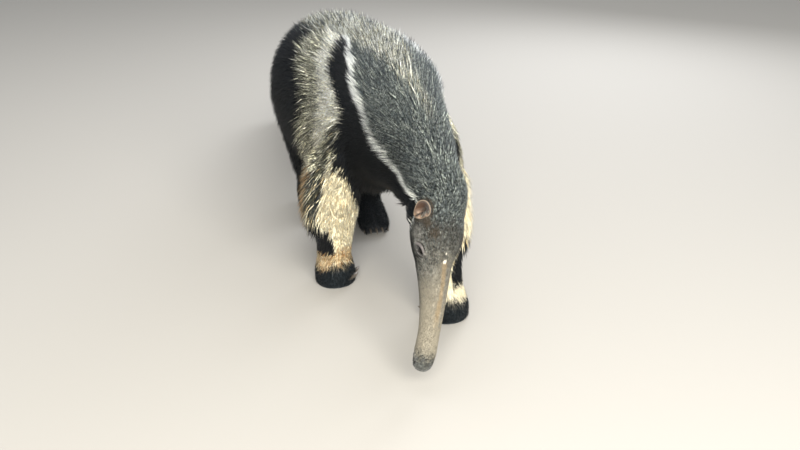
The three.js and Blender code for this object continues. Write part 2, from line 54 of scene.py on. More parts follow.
class Side(Enum):
    """Side of the animal; the value is the sign of its X axis turned outwards."""

    RIGHT = -1
    LEFT = 1


class Slot(Enum):
    """Material slots."""

    FACE = "face_fur"
    GREY = "grey_fur"
    TAIL = "tail_hair"
    CREAM = "cream_fur"
    BLACK = "black_fur"
    EAR = "ear_skin"
    HORN = "horn"
    EYE = "eye"


# ---------------------------------------------------------------- numbers and curves


def linear(code: str) -> np.ndarray:
    """Turn an sRGB hex value into linear light.

    Args:
        code: six hex digits.

    Returns:
        Three linear values.
    """
    raw = np.array([int(code[i : i + 2], 16) for i in (0, 2, 4)]) / 255
    return np.where(raw <= 0.04045, raw / 12.92, ((raw + 0.055) / 1.055) ** 2.4)


def rgba(code: str) -> tuple:
    """Return the opaque linear colour of six hex digits."""
    return (*linear(code), 1.0)


def laid_over(under: np.ndarray, colour: np.ndarray, share: np.ndarray) -> np.ndarray:
    """Return colours covered by another one in the given shares."""
    return under * (1 - share) + colour * share


def unit(v: np.ndarray) -> np.ndarray:
    """Return vectors scaled to length one."""
    return v / np.maximum(np.linalg.norm(v, axis=-1, keepdims=True), 1e-12)


def step(x: np.ndarray, low: float, high: float) -> np.ndarray:
    """Return a smooth step from 0 at low to 1 at high."""
    t = np.clip((x - low) / (high - low), 0, 1)
    return t * t * (3 - 2 * t)


def table(x: np.ndarray, pairs: tuple) -> np.ndarray:
    """Return the values at x of a line through (place, value) pairs."""
    places, values = zip(*pairs)
    return np.interp(x, places, values)


def smooth_table(turn: np.ndarray, pairs: tuple) -> np.ndarray:
    """Return values at turns in radians of a closed rounded line through (degrees, value) pairs."""
    places, values = np.array(pairs, float).T
    near = [np.interp((np.degrees(turn) + off + 180) % 360 - 180, places, values) for off in (-12, -6, 0, 6, 12)]
    return np.mean(near, axis=0)


def bell(x: np.ndarray, width: float) -> np.ndarray:
    """Return a bell curve of the given half width."""
    return np.exp(-0.5 * (x / width) ** 2)


def even(value: float) -> Callable:
    """Return a function of s and angle that is the same everywhere."""
    return lambda s, phi: value + 0 * s


def by_place(*pairs: tuple[float, float]) -> Callable:
    """Return a function of s and angle that follows (s, value) pairs."""
    return lambda s, phi: table(s, pairs)


def from_bridge(a: np.ndarray) -> np.ndarray:
    """Return angles round the body in radians from its top, 0 to pi."""
    return np.abs((a - math.pi / 2 + math.pi) % (2 * math.pi) - math.pi)


def from_top(a: np.ndarray) -> np.ndarray:
    """Return angles round the body in degrees from its top, 0 to 180."""
    return np.abs((np.degrees(a) - 90 + 180) % 360 - 180)


def smooth_curve(rows: np.ndarray, steps: int) -> np.ndarray:
    """Sample the centripetal curve through rows.

    Args:
        rows: points, one a line.
        steps: samples from each row to the next.

    Returns:
        The sampled points, the last row included.
    """
    padded = np.vstack([2 * rows[0] - rows[1], rows, 2 * rows[-1] - rows[-2]])
    out = []
    for i in range(len(rows) - 1):
        a, b, c, d = padded[i : i + 4]
        gaps = [math.sqrt(np.linalg.norm(q - p)) for p, q in ((a, b), (b, c), (c, d))]
        mid = gaps[1] if gaps[1] > 1e-4 else 1.0
        first = gaps[0] if gaps[0] > 1e-4 else mid
        last = gaps[2] if gaps[2] > 1e-4 else mid
        leave = ((b - a) / first - (c - a) / (first + mid) + (c - b) / mid) * mid
        reach = ((c - b) / mid - (d - b) / (mid + last) + (d - c) / last) * mid
        t = (np.arange(steps) / steps)[:, None]
        out.append(b + leave * t + (3 * (c - b) - 2 * leave - reach) * t**2 + (2 * (b - c) + leave + reach) * t**3)
    out.append(rows[-1:])
    return np.vstack(out)


@dataclass
class Drift:
    """Slow random waves in space, the same at every run.

    Attributes:
        size: length of the waves in mm.
        seed: seed of the draw.
    """

    # Number of waves, and the sum of them that counts as 1
    WAVES = 7
    TALLEST = 3.2

    size: float
    seed: int

    def __post_init__(self) -> None:
        rng = np.random.default_rng(self.seed)
        self.ways = rng.normal(0, 2 * math.pi / self.size, (self.WAVES, 3))
        self.starts = rng.uniform(0, 2 * math.pi, self.WAVES)

    def at(self, points: np.ndarray) -> np.ndarray:
        """Return values about -1 to 1 at the points."""
        return np.sin(points @ self.ways.T + self.starts).sum(1) / self.TALLEST


# ---------------------------------------------------------------- the body's own measures, mm


SNOUT_TIP = np.array([-27.0, -398.0, 50.0])
HEAD_AT_EARS = np.array([38.0, -252.0, 297.0])
HEAD_ROLL = math.radians(43)
SNOUT_DROOP = 19
SNOUT_DROOP_OVER = 140
EYE_ANGLE = math.radians(88)
EAR_FROM_TIP = 305
EAR_ANGLE = math.radians(88)
# Sideways bow of the head, its distance from the tip and its reach
HEAD_BOW, BOW_AT, BOW_OVER = 4.5, 222, 38
HEAD_LENGTH = 345
UP = np.array([0.0, 0.0, 1.0])
# Height of a leg's ankle, and squareness of the sections of body and feet
ANKLE = 70
BODY_SQUARE, FOOT_SQUARE = 2.2, 2.4

# Head: from the tip, half width, height above and below the axis to the hair's surface, depth of the hair
HEAD_ROWS = (
    (0, 10, 9, 8, 0.3),
    (7, 17, 16, 15, 0.3),
    (20, 20, 20, 19, 0.3),
    (38, 21, 21, 21, 0.3),
    (70, 20, 21, 21, 0.4),
    (117, 22, 24, 25, 0.5),
    (165, 27, 29, 32, 0.8),
    (208, 34, 35, 40, 1.4),
    (235, 45, 43, 48, 2.2),
    (258, 51, 48, 54, 3.0),
    (304, 48, 49, 65, 5.0),
    (345, 51, 54, 86, 8.0),
)
# Neck, trunk and tail: centre, half width, height above and below to the hair tips, and the flesh inside them
NECK_ROWS = (
    ((35, -200, 374), (57, 63, 102), (47, 49, 86)),
    ((24, -146, 402), (74, 96, 108), (60, 74, 88)),
    ((6, -92, 423), (100, 130, 134), (82, 98, 106)),
)
TRUNK_ROWS = (
    ((-3, -48, 432), (124, 154, 154), (104, 118, 122)),
    ((-16, 40, 427), (146, 178, 180), (126, 140, 145)),
    ((-34, 150, 420), (160, 181, 190), (140, 143, 155)),
    ((-46, 280, 416), (163, 180, 188), (143, 142, 153)),
    ((-44, 400, 411), (157, 168, 170), (137, 130, 135)),
    ((-39, 490, 408), (138, 144, 146), (117, 106, 111)),
    ((-34, 550, 407), (104, 106, 118), (82, 72, 84)),
)
TAIL_ROWS = (
    ((-30, 600, 400), (92, 98, 150), (60, 58, 74)),
    ((-28, 665, 378), (84, 92, 205), (44, 46, 60)),
    ((-24, 770, 328), (80, 90, 252), (34, 36, 48)),
    ((-22, 880, 275), (82, 94, 250), (29, 30, 42)),
    ((-20, 1000, 225), (84, 98, 210), (25, 26, 36)),
    ((-18, 1120, 180), (82, 100, 170), (20, 21, 30)),
    ((-16, 1240, 145), (74, 92, 136), (15, 16, 24)),
    ((-14, 1360, 118), (56, 70, 108), (8, 9, 14)),
)
# Legs: centre beside the foot, half width, size to the front and to the back, coat depth
FORE_ROWS = (
    ((-6, -20, 470), (34, 60, 60), 14),
    ((2, -10, 380), (54, 76, 80), 16),
    ((6, 4, 280), (60, 68, 82), 15),
    ((4, 2, 195), (60, 56, 72), 13),
    ((2, 0, 125), (46, 46, 54), 9),
    ((0, 0, 76), (42, 42, 46), 6),
    ((-1, -1, 52), (46, 45, 47), 5),
    ((-1, -2, 26), (51, 50, 46), 5),
    ((-1, -2, -10), (49, 48, 42), 5),
)
HIND_ROWS = (
    ((0, 30, 440), (48, 84, 80), 14),
    ((10, 16, 350), (62, 102, 94), 16),
    ((14, 0, 260), (60, 82, 84), 15),
    ((8, 10, 175), (46, 54, 62), 11),
    ((2, 24, 112), (36, 42, 46), 8),
    ((0, 30, 82), (34, 42, 42), 6),
    ((0, 34, 60), (30, 38, 38), 6),
)
HINDFOOT_ROWS = (
    ((0, 85, 34), (26, 26, 40), 5),
    ((0, 68, 40), (34, 42, 48), 5),
    ((0, 30, 42), (37, 48, 50), 5),
    ((-1, -20, 32), (41, 32, 40), 5),
    ((-2, -62, 24), (41, 20, 32), 5),
    ((-2, -78, 20), (34, 10, 26), 5),
)


@dataclass(frozen=True)
class LegPlace:
    """Where a leg stands, in mm.

    Attributes:
        side: side of the animal.
        rows: its sections from the top down.
        foot: X and Y of the foot.
        hip: X and Y of the top.
        top: height of the top.
        lean: how far its middle leans inwards, at which height and over which reach.
    """

    side: Side
    rows: tuple
    foot: tuple[float, float]
    hip: tuple[float, float]
    top: float
    lean: tuple[float, float, float] = (0, 0, 1)

    def axis(self, z: np.ndarray) -> tuple:
        """Return X and Y of the line from the foot to the hip at a height."""
        share = np.clip((z - ANKLE) / (self.top - ANKLE), 0, 1) ** 0.9
        return tuple(low + share * (high - low) for low, high in zip(self.foot, self.hip))


LEG_PLACES = {
    "foreleg_right": LegPlace(Side.RIGHT, FORE_ROWS, (-115, 88), (-92, -20), 470, (-9, 205, 48)),
    "foreleg_left": LegPlace(Side.LEFT, FORE_ROWS, (100, -132), (78, -40), 470, (9, 105, 34)),
    "hindleg_right": LegPlace(Side.RIGHT, HIND_ROWS, (-98, 520), (-104, 470), 440),
    "hindleg_left": LegPlace(Side.LEFT, HIND_ROWS, (42, 378), (42, 440), 440),
}

FORWARD = unit(SNOUT_TIP - HEAD_AT_EARS)


def head_axes() -> tuple[np.ndarray, np.ndarray]:
    """Return the head's upward and rightward directions, rolled with its swing."""
    raised = np.array([-0.266, -0.838, 0.477])
    raised = unit(raised - FORWARD * (raised @ FORWARD))
    c, s = math.cos(-HEAD_ROLL), math.sin(-HEAD_ROLL)
    raised = raised * c + np.cross(FORWARD, raised) * s
    return raised, np.cross(FORWARD, raised)


DORSAL, HEAD_RIGHT = head_axes()


def head_bow(back: float) -> np.ndarray:
    """Return the slight sideways bow of the head's axis before the eyes."""
    return HEAD_RIGHT * HEAD_BOW * math.exp(-0.5 * ((back - BOW_AT) / BOW_OVER) ** 2)


def head_centre(back: float) -> np.ndarray:
    """Return the place on the head's axis at a distance back from the tip."""
    droop = max(0.0, 1 - back / SNOUT_DROOP_OVER) ** 2
    return SNOUT_TIP - FORWARD * back - DORSAL * SNOUT_DROOP * droop + head_bow(back)


def on_head(back: float, angle: float, side: Side, reach: float) -> np.ndarray:
    """Return a place on the hair's surface of the head.

    Args:
        back: distance from the snout tip.
        angle: angle from the bridge, in radians.
        side: side of the animal.
        reach: share of the way from the axis to the surface.

    Returns:
        The place in mm.
    """
    wide, up, down = (table(back, [(r[0], r[i]) for r in HEAD_ROWS]) for i in (1, 2, 3))
    tall = up if math.cos(angle) > 0 else down
    out = HEAD_RIGHT * math.sin(angle) * wide * -side.value + DORSAL * math.cos(angle) * tall
    return head_centre(back) + out * reach


# The frame's shift against these measures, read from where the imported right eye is
PACKED_EYE = SNOUT_TIP - FORWARD * 233 + (HEAD_RIGHT * 44.23 + DORSAL * 1.51) * 0.84
ORIGIN = (np.array(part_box("eye_right")[0]) + np.array(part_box("eye_right")[1])) / 2 / MM - PACKED_EYE


def to_frame(points: np.ndarray) -> np.ndarray:
    """Turn places in the body's measures into the frame's metres."""
    return (points + ORIGIN) * MM


# ---------------------------------------------------------------- tubes of flesh


class Tube:
    """Smooth tube of flesh inside its coat, walked by s (mm from its start), angle a and height h.

    Height 0 is the skin and 1 the surface of the coat. Angle 0 is the tube's side, a quarter turn its top.
    """

    def __init__(self, centres: list, overs: list, reach: list, flesh: list, square: float, steps: int = 10) -> None:
        """Sample the tube.

        Args:
            centres: centre of each row.
            overs: upward direction of each row.
            reach: half width, up and down of each row to the coat's surface.
            flesh: the same to the skin.
            square: squareness of the section, 2 for an ellipse.
            steps: samples from each row to the next.
        """
        self.square = square
        self.rows = len(centres)
        self.centre = smooth_curve(np.array(centres, float), steps)
        self.reach = np.maximum(smooth_curve(np.array(reach, float), steps), 0.2)
        self.flesh = np.maximum(smooth_curve(np.array(flesh, float), steps), 0.1)
        rows = np.linspace(0, len(centres) - 1, len(self.centre))
        overs = np.array(overs, float)
        over = np.stack([np.interp(rows, range(len(overs)), overs[:, i]) for i in range(3)], 1)
        self.along = unit(np.gradient(self.centre, axis=0))
        self.side = unit(np.cross(self.along, over))
        self.over = np.cross(self.side, self.along)
        self.s = np.concatenate([[0], np.cumsum(np.linalg.norm(np.diff(self.centre, axis=0), axis=1))])
        self.length = float(self.s[-1])
        self.sheet = np.hstack([self.centre, self.side, self.over, self.reach, self.flesh])

    def row_place(self, row: int) -> float:
        """Return the s at which a row of the table lies."""
        steps = (len(self.s) - 1) // (self.rows - 1)
        return float(self.s[row * steps])

    def point(self, s: np.ndarray, a: np.ndarray, h: np.ndarray) -> np.ndarray:
        """Return places on or over the skin.

        Args:
            s: distance along the tube.
            a: angle round it.
            h: height, 0 at the skin and 1 at the coat's surface.

        Returns:
            Places in mm, one a line.
        """
        s, a, h = np.broadcast_arrays(s, a, h)
        got = [np.interp(s, self.s, self.sheet[:, i]) for i in range(15)]
        c, n = np.cos(a), np.sin(a)
        x = np.sign(c) * np.abs(c) ** (2 / self.square)
        y = np.sign(n) * np.abs(n) ** (2 / self.square)
        wide = got[12] + (got[9] - got[12]) * h
        tall = np.where(y > 0, got[13] + (got[10] - got[13]) * h, got[14] + (got[11] - got[14]) * h)
        return np.stack([got[i] + got[3 + i] * x * wide + got[6 + i] * y * tall for i in range(3)], -1)

    def spans(self, s: np.ndarray, a: np.ndarray) -> tuple[np.ndarray, np.ndarray]:
        """Return the mm on the coat's middle for a mm of s and for a radian of a."""
        by_s, by_a = 2, 0.05
        ds = self.point(s + by_s, a, 0.5) - self.point(s - by_s, a, 0.5)
        da = self.point(s, a + by_a, 0.5) - self.point(s, a - by_a, 0.5)
        return np.linalg.norm(ds, axis=-1) / (2 * by_s), np.linalg.norm(da, axis=-1) / (2 * by_a)

    def holds(self, points: np.ndarray, margin: float) -> np.ndarray:
        """Tell which places lie under the skin by at least a margin.

        Args:
            points: places in mm.
            margin: depth under the skin in mm.

        Returns:
            True or False for each place.
        """
        inside = np.zeros(len(points), bool)
        size = self.flesh - margin
        for part in np.array_split(np.arange(len(points)), max(1, len(points) // 20000)):
            away = points[part, None, :] - self.centre[None, :, :]
            off, x, y = (np.einsum("ijk,jk->ij", away, way) for way in (self.along, self.side, self.over))
            tall = np.where(y > 0, size[:, 1], size[:, 2])
            fill = (np.abs(x) / np.maximum(size[:, 0], 1)) ** self.square
            fill = fill + (np.abs(y) / np.maximum(tall, 1)) ** self.square
            inside[part] = np.any((np.abs(off) < 6) & (fill < 1), axis=1)
        return inside


def spine() -> Tube:
    """Return the tube from the snout tip over head, neck, trunk and tail."""
    centres, overs, reach, flesh = [], [], [], []
    for back, wide, up, down, depth in HEAD_ROWS:
        centres.append(head_centre(back))
        overs.append(DORSAL)
        reach.append((wide, up, down))
        flesh.append((wide - depth, up - depth, down - depth))
    for i, (at, outer, inner) in enumerate(NECK_ROWS):
        share = (i + 1) / 3
        centres.append(at)
        overs.append(DORSAL * (1 - share) + UP * share)
        reach.append(outer)
        flesh.append(inner)
    for at, outer, inner in TRUNK_ROWS + TAIL_ROWS:
        centres.append(at)
        overs.append(UP)
        reach.append(outer)
        flesh.append(inner)
    return Tube(centres, overs, reach, flesh, BODY_SQUARE)


def leg_tube(name: str) -> Tube:
    """Return the tube of a leg, from inside the body down to the floor or the foot."""
    leg = LEG_PLACES[name]
    most, level, over = leg.lean
    centres, reach, flesh = [], [], []
    for (x, y, z), outer, depth in leg.rows:
        across, along = leg.axis(z)
        lean = most * math.exp(-0.5 * ((z - level) / over) ** 2)
        centres.append((across + leg.side.value * (x - lean), along + y, z))
        reach.append(outer)
        flesh.append(tuple(v - depth for v in outer))
    return Tube(centres, [(0, -1, 0)] * len(centres), reach, flesh, BODY_SQUARE)


def hindfoot_tube(name: str) -> Tube:
    """Return the tube of a hind foot, from heel to toes."""
    leg = LEG_PLACES[name]
    centres = [(leg.foot[0] + leg.side.value * x, leg.foot[1] + y, z) for (x, y, z), _, _ in HINDFOOT_ROWS]
    reach = [outer for _, outer, _ in HINDFOOT_ROWS]
    flesh = [tuple(v - depth for v in outer) for _, outer, depth in HINDFOOT_ROWS]
    return Tube(centres, [UP] * len(centres), reach, flesh, FOOT_SQUARE)


# ---------------------------------------------------------------- finishes


class Nodes:
    """The node tree of one new material."""

    def __init__(self, name: str) -> None:
        """Start an empty material of that name."""
        self.material = bpy.data.materials.new(name)
        self.material.use_nodes = True
        self.tree = self.material.node_tree
        self.tree.nodes.clear()
        self.place = self.add("TexCoord").outputs["Object"]

    def add(self, kind: str, settings: Optional[dict] = None, **inputs: object) -> bpy.types.Node:
        """Add one node with its settings and links.

        Args:
            kind: Blender's name of the node type after ShaderNode.
            settings: attributes of the node.
            **inputs: socket name, with _ for a space, or i and its number, to a value or an output socket.

        Returns:
            The new node.
        """
        node = self.tree.nodes.new("ShaderNode" + kind)
        for key, value in (settings or {}).items():
            setattr(node, key, value)
        for key, value in inputs.items():
            numbered = key[0] == "i" and key[1:].isdigit()
            socket = node.inputs[int(key[1:]) if numbered else key.replace("_", " ")]
            if isinstance(value, bpy.types.NodeSocket):
                self.tree.links.new(value, socket)
            else:
                socket.default_value = value
        return node

    def noise(self, size_mm: float, detail: float, **more: float) -> bpy.types.NodeSocket:
        """Return noise with spots of a size."""
        spots = self.add("TexNoise", Vector=self.place, Scale=1 / (size_mm * MM), Detail=detail, **more)
        return spots.outputs["Fac"]

    def moved(self, value: bpy.types.NodeSocket, old: tuple, new: tuple) -> bpy.types.NodeSocket:
        """Return a value moved from one range, given as low and high, to another."""
        (low, high), (least, most) = old, new
        node = self.add("MapRange", Value=value, From_Min=low, From_Max=high, To_Min=least, To_Max=most)
        return node.outputs["Result"]

    def reckon(self, operation: str, *values: object) -> bpy.types.NodeSocket:
        """Return the result of one operation on numbers."""
        node = self.add("Math", {"operation": operation}, **{f"i{i}": value for i, value in enumerate(values)})
        return node.outputs["Value"]

    def attribute(self, name: str) -> bpy.types.Node:
        """Return a node that reads an attribute of the mesh."""
        return self.add("Attribute", {"attribute_name": name})

    def bump(self, height: bpy.types.NodeSocket, strength: float, deep_mm: float) -> bpy.types.NodeSocket:
        """Return the normal of a fine relief."""
        return self.add("Bump", Height=height, Strength=strength, Distance=deep_mm * MM).outputs["Normal"]

    def flecked(self, grain: bpy.types.NodeSocket, fleck_mm: float) -> bpy.types.NodeSocket:
        """Break the markings' colour into the pale and dark bands of single hairs.

        Args:
            grain: fine noise along the hairs.
            fleck_mm: length of a band.

        Returns:
            The colour.
        """
        tone = self.attribute("coat_tone")
        bands = self.moved(self.noise(fleck_mm, 1.5, Roughness=0.6), (0.38, 0.64), (0.2, 2.5))
        share = self.add("Mix", {"data_type": "FLOAT"}, i0=tone.outputs["Alpha"], i2=1.0, i3=bands)
        both = self.reckon("MULTIPLY", share.outputs[0], self.moved(grain, (0.25, 0.75), (0.82, 1.18)))
        mixed = self.add("VectorMath", {"operation": "SCALE"}, i0=tone.outputs["Color"], Scale=both)
        return mixed.outputs["Vector"]

    def finish(self, **inputs: object) -> bpy.types.Material:
        """Close the tree with one surface of the given inputs and return the material."""
        self.add("OutputMaterial", Surface=self.add("BsdfPrincipled", **inputs).outputs["BSDF"])
        return self.material


@dataclass(frozen=True)
class HairFinish:
    """Guard hair: matt keratin strands, which give a soft dry shine along each tuft."""

    name: str
    roughness: float = 0.5
    specular: float = 0.16
    sheen: float = 0.02
    streak_mm: float = 1.1
    fleck_mm: float = 4.5

    def material(self) -> bpy.types.Material:
        """Return the material, its colour read from the coat's own markings."""
        nodes = Nodes(self.name)
        grain = nodes.noise(self.streak_mm, 2.0)
        return nodes.finish(
            Base_Color=nodes.flecked(grain, self.fleck_mm), Normal=nodes.bump(grain, 0.25, 0.4), IOR=1.5,
            Roughness=self.roughness, Specular_IOR_Level=self.specular, Sheen_Weight=self.sheen, Sheen_Roughness=0.4,
        )


@dataclass(frozen=True)
class HideFinish:
    """Hide under a flat nap of short hair: fine lengthwise grain, soft folds, smoother and damp at the nose."""

    name: str = "short_haired_hide"
    nap_mm: float = 1.3
    fold_mm: float = 9.0
    pore_mm: float = 2.2
    fleck_mm: float = 4.0

    def material(self) -> bpy.types.Material:
        """Return the material, its colour read from the skin's own markings."""
        nodes = Nodes(self.name)
        bare = nodes.attribute("bare").outputs["Fac"]
        nap, fold = nodes.noise(self.nap_mm, 3.0, Roughness=0.6), nodes.noise(self.fold_mm, 4.0)
        pore = nodes.add("TexVoronoi", Vector=nodes.place, Scale=1 / (self.pore_mm * MM)).outputs["Distance"]
        height = nodes.reckon("MULTIPLY_ADD", pore, bare, nodes.reckon("MULTIPLY_ADD", fold, 0.6, nap))
        return nodes.finish(
            Base_Color=nodes.flecked(nap, self.fleck_mm), Normal=nodes.bump(height, 0.5, 0.6), IOR=1.45,
            Roughness=nodes.moved(bare, (0.0, 1.0), (0.62, 0.42)), Specular_IOR_Level=0.35, Sheen_Weight=0.15,
            Sheen_Roughness=0.5,
        )


@dataclass(frozen=True)
class EyeFinish:
    """Wet cornea over a brown-black iris, which gives one small sharp glint."""

    name: str = "wet_dark_eye"
    iris: str = "0d0906"
    pupil: str = "030202"
    mottle_mm: float = 1.5

    def material(self) -> bpy.types.Material:
        """Return the material with its mottled iris."""
        nodes = Nodes(self.name)
        mottle = nodes.noise(self.mottle_mm, 3.0)
        colour = nodes.add("Mix", {"data_type": "RGBA"}, i0=mottle, i6=rgba(self.pupil), i7=rgba(self.iris))
        return nodes.finish(
            Base_Color=colour.outputs[2], Roughness=0.15, IOR=1.36, Specular_IOR_Level=0.25, Coat_Weight=0.2,
            Coat_Roughness=0.04,
        )


@dataclass(frozen=True)
class HornFinish:
    """Claw horn: grown keratin with fine bands, darker at the root and worn paler at the tip."""

    name: str = "claw_horn"
    dark: str = "1b1815"
    pale: str = "5d554a"
    band_mm: float = 2.0

    def material(self) -> bpy.types.Material:
        """Return the material, its colour read from the claw's own wear."""
        nodes = Nodes(self.name)
        grain = nodes.noise(self.band_mm, 4.0)
        wear = nodes.reckon("MULTIPLY_ADD", grain, 0.5, nodes.attribute("bare").outputs["Fac"])
        colour = nodes.add("ValToRGB", Fac=wear)
        root, tip = colour.color_ramp.elements
        root.color, root.position, tip.color = rgba(self.dark), 0.3, rgba(self.pale)
        normal = nodes.bump(grain, 0.3, 0.4)
        return nodes.finish(Base_Color=colour.outputs["Color"], Normal=normal, Roughness=0.38, IOR=1.55)


@dataclass(frozen=True)
class FloorFinish:
    """Matt studio floor: pale painted board with a faint roller grain."""

    name: str = "matt_studio_floor"
    pale: str = "a6a29a"

    def material(self) -> bpy.types.Material:
        """Return the material."""
        nodes = Nodes(self.name)
        grain = nodes.add("TexNoise", Vector=nodes.place, Scale=60.0, Detail=3.0).outputs["Fac"]
        return nodes.finish(Base_Color=rgba(self.pale), Normal=nodes.bump(grain, 0.1, 0.5), Roughness=0.85)


# ---------------------------------------------------------------- face and markings


class Tone(Enum):
    """Hair colours, each as root, middle and tip, and how strongly pale and dark bands fleck it."""

    GRIZZLE = ("222524", "3b403f", "525857", 1.0)
    GRIZZLE_PALE = ("42463f", "787e74", "a6aba0", 0.9)
    GRIZZLE_DARK = ("15191b", "262b2e", "343b3e", 0.7)
    CREST = ("45433a", "8b8a7c", "c4c3b2", 0.85)
    CREST_WHITE = ("8f8e7e", "d6d6c6", "f6f6ea", 0.4)
    STRAND = ("2a281e", "5f5b46", "9a9472", 0.8)
    WHITE = ("cfd0c4", "f2f4ea", "fdfef8", 0.1)
    BLACK = ("04070a", "090d11", "0f151a", 0.2)
    BORDER = ("b8b49c", "e8e4cf", "faf7ea", 0.6)
    BAND_PALE = ("86846f", "b3b199", "d6d4bc", 0.95)
    BAND_DARK = ("24231c", "3d3d31", "50503f", 0.8)
    FLANK = ("05080b", "0a0f13", "11181d", 0.25)
    CREAM = ("dcd0a8", "f5ebc8", "fffae6", 0.12)
    CREAM_DEEP = ("b09a70", "dcc79b", "efdfb6", 0.18)
    FRINGE = ("67442a", "a3794b", "cda670", 0.3)
    TAIL_DARK = ("1f1d1b", "2d2b28", "3b3833", 0.3)
    TAIL_PALE = ("5a554a", "7d7768", "a09a86", 0.3)
    FACE = ("302f28", "413f39", "4d4b45", 0.6)
    FACE_PALE = ("54534c", "67665e", "797770", 0.4)
    SNOUT = ("7b7566", "827c6b", "8b8372", 0.05)
    SNOUT_GREY = ("69655a", "726e63", "7b776a", 0.06)
    SNOUT_TAN = ("7a6b54", "887a62", "98896e", 0.06)
    NOSE = ("292a26", "363834", "444641", 0.4)
    NOSE_DARK = ("171615", "232221", "302f2e", 0.3)
    # the next tone is a painted highlight on the snout's bridge
    SPOT = ("c9c0ac", "ded6c4", "f0eadb", 0.0)
    # the next tone is the head's brown patch, and also the painted shadow round the ear
    BROWN = ("322d27", "463f35", "584f42", 0.35)
    # the next tone is painted shade, laid round the eye and under the cheek
    HOLLOW = ("121210", "201f1c", "2f2e2a", 0.25)
    TOE = ("05090c", "0c1417", "151f24", 0.2)

    @property
    def place(self) -> int:
        """Place of the tone in the tables."""
        return list(Tone).index(self)

    def strands(self) -> np.ndarray:
        """Return the three colours in linear light."""
        return np.stack([linear(code) for code in self.value[:3]])


TONE_TABLE = np.stack([tone.strands() for tone in Tone])
FLECKS = np.array([tone.value[3] for tone in Tone])


def pick(mix: dict[Tone, float], count: int, rng: np.random.Generator) -> np.ndarray:
    """Draw tones for a number of tufts.

    Args:
        mix: how often each tone comes.
        count: number of tufts.
        rng: random source.

    Returns:
        The place of a tone in the tables for each tuft.
    """
    shares = np.array(list(mix.values())) / sum(mix.values())
    return rng.choice([tone.place for tone in mix], count, p=shares)


def strew(tones: np.ndarray, where: np.ndarray, mix: dict[Tone, float], rng: np.random.Generator) -> None:
    """Draw new tones for the tufts that where marks."""
    tones[where] = pick(mix, int(where.sum()), rng)


def torn(share: np.ndarray, level: float, spread_by: float, rng: np.random.Generator) -> np.ndarray:
    """Tell where a share passes a level, with a torn edge of the given spread; never where there is next to none."""
    least = 0.08
    return (share > least) & (share > level + rng.normal(0, spread_by, len(share)))


